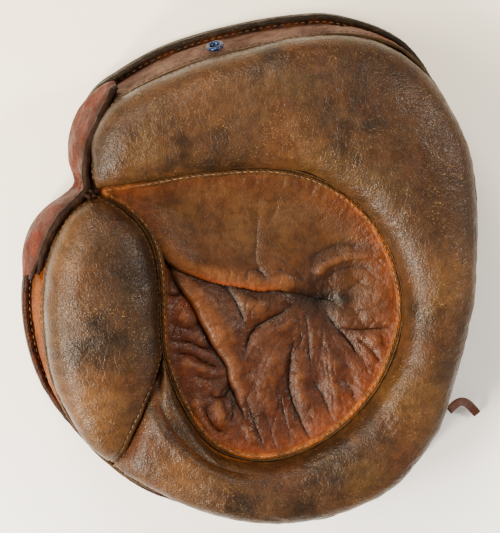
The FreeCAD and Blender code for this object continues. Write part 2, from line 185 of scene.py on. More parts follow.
def lattice(ix, iy, seed):
    h = (ix.astype(np.int64) * 374761393 + iy.astype(np.int64) * 668265263 + seed * 974711) & 0xFFFFFFFF
    h = ((h ^ (h >> 13)) * 1274126177) & 0xFFFFFFFF
    return (h ^ (h >> 16)) / 4294967295.0 * 2 * math.pi


def perlin(x, y, seed=0):
    """Gradient noise from about -0.7 to 0.7."""
    x0, y0 = np.floor(x), np.floor(y)
    fx, fy = x - x0, y - y0
    ux, uy = fx ** 3 * (fx * (fx * 6 - 15) + 10), fy ** 3 * (fy * (fy * 6 - 15) + 10)

    def corner(dx, dy):
        angle = lattice(x0 + dx, y0 + dy, seed)
        return np.cos(angle) * (fx - dx) + np.sin(angle) * (fy - dy)
    low = corner(0, 0) * (1 - ux) + corner(1, 0) * ux
    high = corner(0, 1) * (1 - ux) + corner(1, 1) * ux
    return low * (1 - uy) + high * uy


def fbm(x, y, size, octaves=4, seed=0):
    total = np.zeros_like(x, dtype=float)
    for octave in range(octaves):
        share = 2.0 ** octave
        total += perlin(x * share / size, y * share / size, seed + octave * 17) / share
    return total


def ridged(x, y, size, octaves=3, seed=0):
    """Sharp valleys between round ridges: 0 in a valley, towards 1 on a ridge."""
    total = np.zeros_like(x, dtype=float)
    norm = 0.0
    for octave in range(octaves):
        share = 2.0 ** octave
        wave = np.abs(perlin(x * share / size, y * share / size, seed + octave * 31))
        total += np.minimum(1, wave * 3) / share
        norm += 1 / share
    return total / norm


def route_field(x, y, route):
    """Distance to a smooth route, share of the way along it, and the side of it (+1 on its left)."""
    path = smooth_curve(route, 14 * (len(route) - 1) + 1, closed=False)
    best = np.full(x.shape, 1e9)
    share = np.zeros(x.shape)
    side = np.ones(x.shape)
    for number, (a, b) in enumerate(zip(path, path[1:])):
        d = b - a
        f = np.clip(((x - a[0]) * d[0] + (y - a[1]) * d[1]) / (d @ d), 0, 1)
        px, py = x - a[0] - f * d[0], y - a[1] - f * d[1]
        dist = px * px + py * py
        near = dist < best
        best = np.where(near, dist, best)
        share = np.where(near, (number + f) / (len(path) - 1), share)
        side = np.where(near, np.sign(d[0] * py - d[1] * px), side)
    return np.sqrt(best), share, side


def srgb(r, g, b):
    """A colour as a person reads it off a chart, 0 to 255, made linear."""
    c = np.array([r, g, b], float) / 255
    return np.where(c <= 0.04045, c / 12.92, ((c + 0.055) / 1.055) ** 2.4)


def mix(a, b, f):
    f = np.clip(f, 0, 1)[..., None]
    return a * (1 - f) + b * f


def layered(tint, *layers):
    """The tint with colours laid over it in turn. Each layer: its amount and its colour."""
    for amount, colour in layers:
        tint = mix(tint, colour, amount)
    return tint


def mottled(a, b, x, y, size, seed):
    """Two colours in patches."""
    return mix(srgb(*a), srgb(*b), smoothstep(fbm(x, y, size, 4, seed), -0.3, 0.4))


# ---------------------------------------------------------------- meshes

def add_object(name, data):
    obj = bpy.data.objects.new(name, data)
    bpy.context.scene.collection.objects.link(obj)
    return obj


def to_object(name, verts, faces, material, attributes=None):
    mesh = bpy.data.meshes.new(name)
    mesh.from_pydata((np.asarray(verts) * MM).tolist(), [], [list(map(int, f)) for f in faces])
    mesh.validate()
    mesh.update()
    for key, values in (attributes or {}).items():
        values = np.asarray(values, float)
        if values.ndim == 2:
            layer = mesh.attributes.new(key, "FLOAT_COLOR", "POINT")
            rgba = np.concatenate([values, np.ones((len(values), 1))], axis=1)
            layer.data.foreach_set("color", rgba.ravel().astype(np.float32))
        else:
            layer = mesh.attributes.new(key, "FLOAT", "POINT")
            layer.data.foreach_set("value", values.astype(np.float32))
    mesh.polygons.foreach_set("use_smooth", [True] * len(mesh.polygons))
    mesh.materials.append(material)
    return add_object(name, mesh)


def thicken(obj, thickness, offset=0):
    made = obj.modifiers.new("thickness", "SOLIDIFY")
    made.thickness = thickness * MM
    made.offset = offset


def grid_faces(rows, columns, wrap_rows=False, wrap_columns=False, flip=False):
    r = np.arange(rows if wrap_rows else rows - 1)
    c = np.arange(columns if wrap_columns else columns - 1)
    rr, cc = np.meshgrid(r, c, indexing="ij")
    r2, c2 = (rr + 1) % rows, (cc + 1) % columns
    quads = np.stack([rr * columns + cc, rr * columns + c2, r2 * columns + c2, r2 * columns + cc], -1)
    quads = quads.reshape(-1, 4)
    return quads[:, ::-1] if flip else quads


def grid_object(name, points, material, flip=False, wrap_rows=False, **attributes):
    rows, columns = points.shape[:2]
    flat = {key: value.reshape(rows * columns, *value.shape[2:]) for key, value in attributes.items()}
    faces = grid_faces(rows, columns, wrap_rows, False, flip)
    return to_object(name, points.reshape(-1, 3), faces, material, flat)


def ring_caps(rings, around):
    """The two faces that close the ends of a tube."""
    return [list(range(around)), list(range((rings - 1) * around, rings * around))[::-1]]


def tube(name, path, radius, material, around, wobble, seed, flatten=1.0):
    """A round bead along a path, with closed ends."""
    tangent = unit(np.gradient(path, axis=0))
    side = unit(np.cross(tangent, UP))
    normal = np.cross(side, tangent)
    angle = np.linspace(0, 2 * math.pi, around, endpoint=False)
    along = np.arange(len(path), dtype=float)[:, None] + 0 * angle
    wave = fbm(along * 0.13, np.cos(angle) * 1.5 + 0 * along, 1, 2, seed)
    ring = side[:, None] * np.cos(angle)[:, None] + normal[:, None] * np.sin(angle)[:, None] * flatten
    size = np.broadcast_to(radius, (len(path),))[:, None] * (1 + wobble * wave)
    points = path[:, None] + ring * size[..., None]
    faces = grid_faces(len(path), around, wrap_columns=True).tolist() + ring_caps(len(path), around)
    return to_object(name, points.reshape(-1, 3), faces, material)


def stitches(name, path, pitch, length, radius, material=None, normals=None):
    """Separate stitches along a path on a surface: short rounded beads that dip in at both ends."""
    lengths = distances(path)
    at = np.arange(pitch / 2, lengths[-1], pitch)
    centre = sample(at, lengths, path)
    tangent = unit(sample(at, lengths, np.gradient(path, axis=0)))
    facing = np.broadcast_to(UP, centre.shape) if normals is None else sample(at, lengths, normals)
    side = unit(np.cross(tangent, facing))
    normal = np.cross(side, tangent)
    s = np.linspace(-1, 1, STITCH_RINGS)
    profile = np.sqrt(np.clip(1 - s ** 4, 0.02, 1))
    angle = np.linspace(0, 2 * math.pi, STITCH_SIDES, endpoint=False)
    long = length * (0.92 + 0.16 * rng.random(len(at)))
    lift = radius * (0.55 - 1.1 * s ** 2)
    middle = (centre[:, None] + tangent[:, None] * (s * long[:, None] / 2)[..., None]
              + normal[:, None] * lift[:, None])
    cross = (side[:, None] * np.cos(angle)[:, None] + normal[:, None] * np.sin(angle)[:, None]) * radius
    points = middle[:, :, None] + cross[:, None] * profile[:, None, None]
    bead = grid_faces(STITCH_RINGS, STITCH_SIDES, wrap_columns=True).tolist()
    bead += ring_caps(STITCH_RINGS, STITCH_SIDES)
    starts = np.arange(len(at)) * STITCH_RINGS * STITCH_SIDES
    faces = [[corner + start for corner in face] for start in starts for face in bead]
    return to_object(name, points.reshape(-1, 3), faces, material or TAN_THREAD)


def ride_all(body, slot, *objs):
    for obj in objs:
        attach(obj, body)


def mm(x, y, z):
    return (x * MM, y * MM, z * MM)


def blend_dart(slot, *objs):
    """Pieces of the thumb section: their placing is baked into their meshes, and no body holds them."""
    for obj in objs:
        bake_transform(obj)


def fasten(section, slot, *objs):
    """Pieces of one section: those of the palm ride it, those of the thumb have their placing baked into
    their meshes.
    """
    if section == "palm":
        ride_all("palm", slot, *objs)
    else:
        blend_dart(slot, *objs)


# ---------------------------------------------------------------- materials

def new_material(name):
    """A material, its node tree, its shader, and the place on the object for its textures."""
    material = bpy.data.materials.new(name)
    material.use_nodes = True
    tree = material.node_tree
    tree.nodes.clear()
    out = tree.nodes.new("ShaderNodeOutputMaterial")
    shader = tree.nodes.new("ShaderNodeBsdfPrincipled")
    tree.links.new(shader.outputs[0], out.inputs[0])
    return material, tree, shader, node(tree, "ShaderNodeTexCoord").outputs["Object"]


def node(tree, kind, inputs=None, **settings):
    made = tree.nodes.new(kind)
    for key, value in settings.items():
        setattr(made, key, value)
    for key, value in (inputs or {}).items():
        if isinstance(value, bpy.types.NodeSocket):
            tree.links.new(value, made.inputs[key])
        else:
            made.inputs[key].default_value = value
    return made


def noise(tree, place, scale, detail=4.0, rough=0.55, distortion=0.0):
    made = node(tree, "ShaderNodeTexNoise", {"Vector": place, "Scale": scale, "Detail": detail,
                                             "Roughness": rough, "Distortion": distortion})
    return made.outputs["Fac"]


def ramp(tree, value, low, high, to_low=0.0, to_high=1.0):
    made = node(tree, "ShaderNodeMapRange", {"Value": value, "From Min": low, "From Max": high,
                                             "To Min": to_low, "To Max": to_high})
    made.interpolation_type = "SMOOTHSTEP"
    return made.outputs["Result"]


def maths(tree, operation, a, b=0.0):
    return node(tree, "ShaderNodeMath", {0: a, 1: b}, operation=operation).outputs[0]


def blend_colour(tree, factor, a, b, mode="MIX"):
    a, b = (c if isinstance(c, bpy.types.NodeSocket) else (*c, 1) for c in (a, b))
    made = node(tree, "ShaderNodeMix", {}, data_type="RGBA", blend_type=mode)
    for index, value in ((0, factor), (6, a), (7, b)):
        if isinstance(value, bpy.types.NodeSocket):
            tree.links.new(value, made.inputs[index])
        else:
            made.inputs[index].default_value = value
    return made.outputs[2]


def multiplied(tree, a, b):
    return blend_colour(tree, 1.0, a, b, "MULTIPLY")


def set_bump(tree, shader, strength, distance, height):
    bumped = node(tree, "ShaderNodeBump", {"Strength": strength, "Distance": distance, "Height": height})
    tree.links.new(bumped.outputs[0], shader.inputs["Normal"])
    return bumped.outputs[0]


def darker(colour, share):
    return tuple(c * share for c in colour)


# How deep the leather's red, green and blue are, against the colours named below.
LEATHER_DEPTH = (0.262, 0.198, 0.140)
BLOTCH_DARK = (0.74, 0.71, 0.68)
BLOTCH_LIGHT = (1.20, 1.18, 1.15)


def leather(name, colour=None, speck=(0.30, 0.19, 0.09), rough=0.42, bump=0.5, speck_amount=0.6,
            coat=0.0, shine=0.24):
    """Old tanned leather. Without a colour, the mesh's tint attribute carries the broad colour."""
    material, tree, shader, place = new_material(name)
    if colour is None:
        base = node(tree, "ShaderNodeAttribute", attribute_name="tint").outputs["Color"]
        wear = node(tree, "ShaderNodeAttribute", attribute_name="wear").outputs["Fac"]
    else:
        patches = ramp(tree, noise(tree, place, 90, 5, 0.6, 0.4), 0.35, 0.68)
        base = blend_colour(tree, patches, darker(colour, 0.62), colour)
        wear = ramp(tree, noise(tree, place, 60, 3), 0.5, 0.8)
    # Blotches of a few millimetres, then a finer grain of about one millimetre.
    blotch = ramp(tree, noise(tree, place, 170, 5, 0.62, 0.4), 0.34, 0.66)
    dark, light = (multiplied(tree, base, tuple(a * b for a, b in zip(tone, LEATHER_DEPTH)))
                   for tone in (BLOTCH_DARK, BLOTCH_LIGHT))
    colour_out = blend_colour(tree, blotch, dark, light)
    grain = noise(tree, place, 820, 3, 0.6)
    shade = ramp(tree, grain, 0.30, 0.55, 0.78, 1.06)
    grey = node(tree, "ShaderNodeCombineColor", {0: shade, 1: shade, 2: shade}).outputs[0]
    colour_out = multiplied(tree, colour_out, grey)
    # Rubbed flecks, where the finish has gone.
    flecks = ramp(tree, noise(tree, place, 1000, 4, 0.7), 0.58, 0.67)
    patches = ramp(tree, noise(tree, place, 115, 5, 0.65, 0.8), 0.38, 0.62)
    amount = maths(tree, "MULTIPLY", maths(tree, "MULTIPLY", flecks, patches),
                   maths(tree, "MULTIPLY", wear, speck_amount))
    colour_out = blend_colour(tree, maths(tree, "MINIMUM", amount, 0.9), colour_out, speck)
    tree.links.new(colour_out, shader.inputs["Base Color"])
    gloss = noise(tree, place, 75, 5, 0.6, 0.5)
    rough_out = maths(tree, "ADD", ramp(tree, gloss, 0.3, 0.7, rough - 0.12, rough + 0.12),
                      ramp(tree, grain, 0.3, 0.7, 0.10, -0.06))
    tree.links.new(rough_out, shader.inputs["Roughness"])
    # Pebbled grain and hair-fine creases.
    pebbles = node(tree, "ShaderNodeTexVoronoi", {"Vector": place, "Scale": 1000.0}, feature="SMOOTH_F1")
    wander = node(tree, "ShaderNodeTexNoise", {"Vector": place, "Scale": 120.0}).outputs["Color"]
    bent = node(tree, "ShaderNodeVectorMath", {0: wander, "Scale": 0.004}, operation="SCALE")
    moved = node(tree, "ShaderNodeVectorMath", {0: place, 1: bent.outputs[0]}, operation="ADD").outputs[0]
    lines = node(tree, "ShaderNodeTexVoronoi", {"Vector": moved, "Scale": 300.0},
                 feature="DISTANCE_TO_EDGE").outputs["Distance"]
    height = maths(tree, "MULTIPLY", ramp(tree, pebbles.outputs["Distance"], 0.0, 0.75, 1.0, 0.0), 0.6)
    for value, share in ((ramp(tree, lines, 0.0, 0.07), 0.28), (noise(tree, place, 420, 3, 0.5), 1.1)):
        height = maths(tree, "ADD", height, maths(tree, "MULTIPLY", value, share))
    bumped = set_bump(tree, shader, bump, 0.0006, height)
    shader.inputs["Specular IOR Level"].default_value = shine
    shader.inputs["Specular Tint"].default_value = (1.0, 0.86, 0.70, 1.0)
    if coat:
        shader.inputs["Coat Weight"].default_value = coat
        shader.inputs["Coat Roughness"].default_value = 0.30
        tree.links.new(bumped, shader.inputs["Coat Normal"])
    return material


def canvas(name, colour):
    material, tree, shader, place = new_material(name)
    weave = [node(tree, "ShaderNodeTexWave", {"Vector": place, "Scale": 150.0, "Distortion": 1.2,
                                              "Detail": 2.0}, bands_direction=way).outputs["Fac"]
             for way in "XY"]
    stain = ramp(tree, noise(tree, place, 45, 5), 0.35, 0.7)
    tree.links.new(blend_colour(tree, stain, darker(colour, 0.5), colour), shader.inputs["Base Color"])
    set_bump(tree, shader, 0.5, 0.0004, maths(tree, "MULTIPLY", *weave))
    shader.inputs["Roughness"].default_value = 0.9
    return material


def thread(name, colour):
    material, tree, shader, place = new_material(name)
    grime_and_shade = ramp(tree, noise(tree, place, 110, 4, 0.6), 0.38, 0.62)
    tree.links.new(blend_colour(tree, grime_and_shade, darker(colour, 0.35), colour), shader.inputs["Base Color"])
    set_bump(tree, shader, 0.6, 0.0002, noise(tree, place, 3200, 2))
    shader.inputs["Roughness"].default_value = 0.75
    return material


def metal(name, colour, rough=0.4, rust=(0.16, 0.07, 0.03), metallic=0.9):
    material, tree, shader, place = new_material(name)
    stains = ramp(tree, noise(tree, place, 420, 6, 0.65), 0.52, 0.66)
    tree.links.new(blend_colour(tree, stains, colour, rust), shader.inputs["Base Color"])
    tree.links.new(ramp(tree, stains, 0, 1, rough, 0.85), shader.inputs["Roughness"])
    set_bump(tree, shader, 0.3, 0.0002, noise(tree, place, 900, 5))
    shader.inputs["Metallic"].default_value = metallic
    return material


FACE_LEATHER = leather("face_leather", speck=(0.26, 0.14, 0.045), rough=0.42, bump=0.42, speck_amount=1.1,
                       coat=0.12, shine=0.14)
POCKET_LEATHER = leather("pocket_leather", speck=(0.16, 0.06, 0.02), rough=0.42, bump=0.34, speck_amount=0.5,
                         coat=0.05, shine=0.13)
GUSSET_LEATHER = leather("gusset_leather", speck=(0.28, 0.15, 0.07), rough=0.55, bump=0.4, speck_amount=0.5,
                         shine=0.03)
EDGE_LEATHER = leather("edge_leather", speck=(0.22, 0.09, 0.025), rough=0.45, bump=0.5, speck_amount=0.7,
                       shine=0.12)
WEB_LEATHER = leather("web_leather", speck=(0.12, 0.035, 0.012), rough=0.5, bump=0.25, speck_amount=0.3,
                      shine=0.05)
BACK_LEATHER = leather("back_leather", tuple(srgb(122, 80, 50)), rough=0.5, bump=0.6)
DARK_ROLL = leather("dark_roll", tuple(srgb(62, 42, 36)), rough=0.5, bump=0.4, speck=(0.10, 0.05, 0.03),
                    shine=0.06)
WELT_LEATHER = leather("welt_leather", tuple(srgb(104, 82, 48)), rough=0.5, bump=0.5,
                       speck=(0.22, 0.11, 0.03), speck_amount=1.2, shine=0.15)
RAWHIDE = leather("rawhide", tuple(srgb(142, 76, 56)), rough=0.5, bump=0.6)
ORANGE_THREAD = thread("orange_thread", tuple(srgb(132, 86, 42)))
TAN_THREAD = thread("tan_thread", tuple(srgb(92, 66, 38)))
LINING = canvas("lining", tuple(srgb(176, 152, 112)))
STEEL = metal("buckle_steel", (0.42, 0.40, 0.37))
EYELET_METAL = metal("eyelet_metal", (0.010, 0.022, 0.065), 0.25, (0.03, 0.04, 0.05), 0.6)


# ---------------------------------------------------------------- camera, floor and lights

CAMERA_DISTANCE = 2.6
SENSOR_HEIGHT = 24
VIEW_HEIGHT = 0.30381


def camera():
    """Far off and nearly overhead, leaning to the fingertips and to the thumb's side."""
    data = bpy.data.cameras.new("camera")
    obj = add_object("camera", data)
    back = Vector((-0.102, 0.142, 1)).normalized()
    place = Vector((0.0004, -0.0006, 0.0)) + back * CAMERA_DISTANCE
    right = Vector((0, 1, 0)).cross(back).normalized()
    true_up = back.cross(right)
    obj.matrix_world = Matrix([(*row, 0) for row in (right, true_up, back)] + [(*place, 1)]).transposed()
    data.sensor_fit = "VERTICAL"
    data.sensor_height = SENSOR_HEIGHT
    data.lens = SENSOR_HEIGHT * CAMERA_DISTANCE / VIEW_HEIGHT
    data.clip_end = 50
    bpy.context.scene.camera = obj


def floor():
    line = np.linspace(-3000.0, 3000.0, 3)
    x, y = np.meshgrid(line, line, indexing="ij")
    material, tree, shader, place = new_material("table_top")
    # Painted warm light: the table's off-white turns cream towards its far edge.
    far = node(tree, "ShaderNodeSeparateXYZ", {"Vector": place}).outputs["Y"]
    uneven = maths(tree, "MULTIPLY", noise(tree, place, 6, 3), 0.05)
    tone = ramp(tree, maths(tree, "ADD", far, uneven), -0.12, 0.22)
    colour = blend_colour(tree, tone, (0.92, 0.88, 0.81), (0.92, 0.80, 0.62))
    tree.links.new(colour, shader.inputs["Base Color"])
    shader.inputs["Roughness"].default_value = 0.6
    grid_object("table_top", np.stack([x, y, 0 * x - 0.05], -1), material, flip=True)


def area_light(name, place, size, power, colour):
    """A round lamp that faces the middle of the mitt."""
    data = bpy.data.lights.new(name, "AREA")
    data.shape = "DISK"
    data.size = size
    data.energy = power
    data.color = colour
    obj = add_object(name, data)
    obj.location = place
    obj.rotation_euler = (Vector((0, 0, 0.04)) - Vector(place)).to_track_quat("-Z", "Y").to_euler()


def lights():
    warm, cool = (1.0, 0.93, 0.82), (0.84, 0.89, 1.0)
    for lamp in (("window_left", (-0.95, -0.30, 1.10), 0.36, 30.0, warm),
                 ("window_top", (-0.40, 0.95, 1.05), 0.45, 16.0, warm),
                 ("window_low", (-0.85, -0.72, 0.66), 0.22, 34.0, warm),
                 ("wide_window", (-1.15, 0.15, 1.15), 0.80, 34.0, warm),
                 ("lamp_right", (0.95, 0.35, 0.90), 0.26, 15.0, (1.0, 0.97, 0.92)),
                 ("room", (1.3, -0.5, 0.9), 1.0, 4.0, cool)):
        area_light(*lamp)
    world = bpy.data.worlds.new("room_light")
    world.use_nodes = True
    sky = world.node_tree.nodes["Background"]
    sky.inputs[0].default_value = (0.96, 0.93, 0.90, 1)
    sky.inputs[1].default_value = 0.6
    bpy.context.scene.world = world


# ---------------------------------------------------------------- rawhide lace end

LACE_ROUTE = [
    (112.3, -81.8, 22.2), (116.6, -78.6, 18.6), (121.4, -78.2, 12.8), (126.4, -81.6, 6.6),
    (131.3, -87.4, 2.7),
]


def lace():
    curve = bpy.data.curves.new("lace_end", "CURVE")
    curve.dimensions = "3D"
    curve.twist_mode = "Z_UP"
    spline = curve.splines.new("NURBS")
    spline.points.add(len(LACE_ROUTE) - 1)
    for point, place in zip(spline.points, LACE_ROUTE):
        point.co = (*mm(*place), 1)
        point.tilt = math.radians(90)
    spline.order_u = 3
    spline.use_endpoint_u = True
    spline.resolution_u = 16
    curve.extrude = 1.7 * MM
    curve.bevel_depth = 0.8 * MM
    curve.bevel_resolution = 3
    curve.use_fill_caps = True
    curve.materials.append(RAWHIDE)
    obj = add_object("lace_end", curve)
    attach(obj, "palm")
    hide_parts("lace_tail")


# ---------------------------------------------------------------- stuffed pads

# The fold in the heel that starts at the top of the dart and runs beside the pocket seam.
HEEL_FOLD = [(-55.5, -47), (-58, -57), (-56.5, -68.5), (-46, -85.5), (-31, -98.5), (-14, -106.5),
             (2, -110)]


def pad_grid(sections, along, across, bulge, plump=0.60):
    """Points over a stuffed pad, from its outer seam (column 0) to its inner seam."""
    flat = [(*inner, *outer, top, seam) for inner, outer, top, seam in sections]
    rows = smooth_curve(flat, along, closed=False)
    inner, outer, top, seam = rows[:, 0:2], rows[:, 2:4], rows[:, 4], rows[:, 5]
    phi = np.linspace(0, math.pi, across)
    share = 0.5 - 0.5 * np.sign(np.cos(phi)) * np.abs(np.cos(phi)) ** 0.92
    lift = np.sin(phi) ** plump
    span = inner - outer
    width = np.linalg.norm(span, axis=1)
    out_dir = -span / (width[:, None] + 1e-6)
    swell = bulge * np.minimum(1, width / 30)
    points = np.empty((along, across, 3))
    base = SEAM_LEVEL + (seam - SEAM_LEVEL)[:, None] * share[None]
    crown = np.maximum(top[:, None] - base, 1.0)
    points[..., :2] = (outer[:, None] + span[:, None] * share[None, :, None]
                       + out_dir[:, None] * (swell[:, None] * np.sin(2 * phi)[None])[..., None])
    points[..., 2] = base + crown * lift[None]
    return points


def surface_normals(points):
    normal = unit(np.cross(np.gradient(points, axis=0), np.gradient(points, axis=1)))
    return normal * np.sign(np.mean(normal[..., 2]) + TINY)


def across_lengths(points):
    steps = np.linalg.norm(np.diff(points, axis=1), axis=2)
    return np.concatenate([np.zeros((len(points), 1)), np.cumsum(steps, axis=1)], axis=1)


def pad_stitches(name, points, distance, rows, from_inner=False):
    """Stitches over the pad at a set distance over its surface from one of its seams."""
    lengths = across_lengths(points)
    both = np.concatenate([points, surface_normals(points)], axis=2)
    first, last = rows
    path = []
    for row in range(first, len(points) - last):
        wanted = lengths[row, -1] - distance if from_inner else distance
        path.append([np.interp(wanted, lengths[row], both[row, :, k]) for k in range(6)])
    path = np.array(path)
    return stitches(name, path[:, :3], 3.4, 2.5, 0.34, normals=path[:, 3:])


def pad_base(sections, along, bulge, plump=0.60):
    """A smooth pad: its points, the distances from its outer and inner seams, and how free it is."""
    points = pad_grid(sections, along, PAD_COLUMNS, bulge, plump)
    lengths = across_lengths(points)
    outer, inner = lengths, lengths[:, -1:] - lengths
    return points, outer, inner, smoothstep(np.minimum(outer, inner), 0.0, 6.0)


FACE_DARK = srgb(52, 40, 32)
FACE_MID = srgb(98, 73, 50)
FACE_OLIVE = srgb(104, 84, 52)
FACE_TAN = srgb(158, 118, 70)
FACE_RED = srgb(108, 66, 44)
SEAM_GOLD = srgb(176, 128, 66)
PAD_COLUMNS = 110


def face_tint(points, outer, inner, seed):
    """Broad colour of the face leather: darker in broad random patches, tan where the seams rub."""
    x, y = points[..., 0], points[..., 1]
    broad = fbm(x, y, 55, 4, seed) + 0.5 * fbm(x, y, 16, 3, seed + 3)
    rub = np.exp(-np.minimum(outer, inner) / 7.0)
    patchy = smoothstep(fbm(x, y, 14, 4, seed + 12), -0.35, 0.35)
    tint = layered(mix(FACE_MID, FACE_DARK, smoothstep(broad, -0.05, 0.55)),
                   (smoothstep(fbm(x, y, 40, 4, seed + 5), 0.0, 0.45) * 0.8, FACE_OLIVE),
                   (smoothstep(fbm(x, y, 48, 3, seed + 9), 0.05, 0.5) * 0.55, FACE_RED),
                   (rub * (0.25 + 0.6 * patchy), FACE_TAN))
    wear = 0.25 + 0.75 * rub + 0.5 * smoothstep(fbm(x, y, 30, 3, seed + 20), 0.0, 0.4)
    return tint, np.clip(wear, 0, 1.3)


def turned_under_shade(points):
    """Painted shade mask: one where the surface faces sideways, nought where it faces up."""
    return 1 - smoothstep(surface_normals(points)[..., 2], 0.05, 0.5)


def rim_pad():
    points, outer, inner, hold = pad_base(RIM_SECTIONS, 640, 0.7)
    x, y = points[..., 0], points[..., 1]
    u = np.linspace(0, 1, len(points))[:, None] + 0 * x
    lengths = u * 560
    depth = 1.5 * fbm(x, y, 42, 3, 11) * hold + 0.28 * fbm(x, y, 7, 3, 14) * hold
    # Wrinkles run across the pad where it bends tightly, on the right and round the heel.
    bend = smoothstep(u, 0.42, 0.52) * (1 - smoothstep(u, 0.72, 0.8))
    wrinkle = ridged(lengths, inner + outer * 0.15, 5.0, 3, 21)
    depth -= 0.55 * (1 - wrinkle) ** 2 * bend * hold * smoothstep(fbm(x, y, 25, 2, 30), -0.2, 0.3)
    # Puckers at the two seams.
    depth -= 0.5 * np.exp(-outer / 3.5) * (0.5 + perlin(lengths / 4.2, outer * 0 + 0.3, 41))
    depth -= 0.6 * np.exp(-inner / 4.0) * (0.5 + perlin(lengths / 3.6, outer * 0 + 0.7, 43))
    # Stitch groove a little in from the outer seam, and the soft fold inside the heel.
    depth -= 0.45 * line_at(outer, 0.9, 4.6)
    fold_d, fold_s, fold_side = route_field(x, y, HEEL_FOLD)
    ends = smoothstep(fold_s, 0.0, 0.12) * (1 - smoothstep(fold_s, 0.72, 1.0))
    outside = (fold_side < 0) * ends
    depth -= 3.0 * np.exp(-(fold_d / np.where(fold_side < 0, 2.2, 5.5)) ** 1.3) * ends
    depth += 1.5 * line_at(fold_d, 3.6, 6.5) * outside
    # A shallow crease across the bottom of the heel.
    reach = smoothstep(x, -48, -35) * (1 - smoothstep(x, 8, 18)) * (0.6 + 0.8 * fbm(x, y, 9, 2, 33))
    depth -= 0.9 * line_at((x + 15) * 0.27 + (y + 128) * 0.96, 1.6) * reach
    points = points + surface_normals(points) * depth[..., None]
    tint, wear = face_tint(points, outer, inner, 60)
    grime_and_shade = spots(x, y, (62, 118, 22, 0.6), (95, 60, 30, 0.5), (112, 20, 22, 0.5), (25, -125, 20, 0.35),
                  (-35, -85, 16, 0.45), (-15, 75, 26, 0.3))
    # Tan spots of rubbed wear; the one at (112, 0), on the right of the rim, is a painted highlight.
    rubbed = spots(x, y, (-72, 75, 18, 0.2), (112, 0, 22, 0.45), (-45, -108, 12, 0.5), (90, -75, 22, 0.35),
                   (20, 75, 24, 0.25), (-30, 105, 24, 0.25))
    tint = layered(tint,
                   # Painted shade where the pad turns under at its outer side.
                   (turned_under_shade(points) * (outer < inner) * 0.75, FACE_DARK * 0.8),
                   (grime_and_shade, FACE_DARK), (rubbed, FACE_TAN),
                   (line_at(outer, 1.1, 1.6) * 0.6, SEAM_GOLD),
                   (np.exp(-outer / 0.6) * 0.8 + np.exp(-inner / 1.2) * 0.75, FACE_DARK * 0.5),
                   (line_at(fold_d, 1.6, 1.5) * outside * 0.5, srgb(150, 92, 48)))
    obj = grid_object("rim_face", points, FACE_LEATHER, tint=tint, wear=wear)
    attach(obj, "palm")
    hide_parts("face_rim_leather", "rim_padding")
    fasten("palm", "welt_leather", pad_stitches("rim_edge_stitches", points, 4.2, (8, 20)))


def thumb_pad():
    points, outer, inner, hold = pad_base(THUMB_SECTIONS, 330, 0.8, 0.58)
    x, y = points[..., 0], points[..., 1]
    u = np.linspace(0, 1, len(points))[:, None] + 0 * x
    depth = 1.3 * fbm(x, y, 36, 3, 71) * hold + 0.3 * fbm(x, y, 6.5, 3, 72) * hold
    depth -= 0.5 * np.exp(-outer / 3.5) * (0.5 + perlin(u * 50, 0 * x, 73))
    depth -= 0.6 * np.exp(-inner / 3.5) * (0.5 + perlin(u * 55, 0 * x + 0.5, 74))
    depth -= 0.5 * line_at(outer, 0.9, 4.6) + 0.45 * line_at(inner, 1.0, 9.5)
    points = points + surface_normals(points) * depth[..., None]
    tint, wear = face_tint(points, outer, inner, 80)
    grime_and_shade = spots(x, y, (-68, 5, 20, 0.85), (-72, -35, 20, 0.55), (-88, 22, 16, 0.35), (-78, -62, 14, 0.2))
    # Tan spots of rubbed wear; the large one at (-94, -68), low on the thumb, is a painted highlight.
    rubbed = spots(x, y, (-110, 10, 12, 0.4), (-94, -68, 20, 0.6), (-104, 30, 9, 0.35))
    worn_arc = line_at(outer, 1.1, 9.0) * smoothstep(y, 5, 25)
    dart_edge = smoothstep(u, 0.62, 0.72)
    tint = layered(tint,
                   # Painted shade where the pad turns under at its outer side.
                   (turned_under_shade(points) * (outer < inner) * 0.6, FACE_DARK * 0.8),
                   (grime_and_shade, FACE_DARK * 0.9), (worn_arc * 0.55, FACE_TAN), (rubbed, FACE_TAN),
                   (line_at(outer, 1.1, 1.6) * 0.6, SEAM_GOLD),
                   (line_at(inner, 1.4, 2.2) * (0.25 + 0.5 * dart_edge), srgb(160, 104, 52)),
                   (np.exp(-outer / 0.6) * 0.8 + np.exp(-inner / 1.0) * 0.7, FACE_DARK * 0.5))
    obj = grid_object("thumb_face", points, FACE_LEATHER, tint=tint, wear=wear)
    blend_dart("face_leather", obj)
    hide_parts("thumb_face_leather", "thumb_padding")
    outer_row = pad_stitches("thumb_edge_stitches", points, 4.6, (10, 14))
    inner_row = pad_stitches("thumb_inner_stitches", points, 9.5, (30, 40), from_inner=True)
    blend_dart("welt_leather", outer_row, inner_row)


# ---------------------------------------------------------------- the creased pocket

HOLE = (36.0, -13.2)
HOLE_LINE = [(15, -7.6), (25, -10.6), (36, -13.2), (49, -14.0)]
POCKET_FLOOR = 34.3
POCKET_RIM = 44.2
FLAP_EDGE = [(-57.8, 22.8), (-49, 13.5), (-43.5, 8.5), (-31.7, 2), (-16, -3), (-2, -5), (8.2, -5.2),
             (17, -7), (26, -9.3), (34, -12)]
DEEP_CREASE = [(-61, 25.5), (-54.5, 18.5), (-47.4, 7.2), (-42, -6), (-32.5, -18.5), (-25.5, -32),
               (-19.5, -44.5), (-14.5, -53), (-13, -61.5)]
DEEP_CREASE_END = [(-13, -61.5), (-10.5, -70.5), (-6.7, -79.5), (-2, -92)]
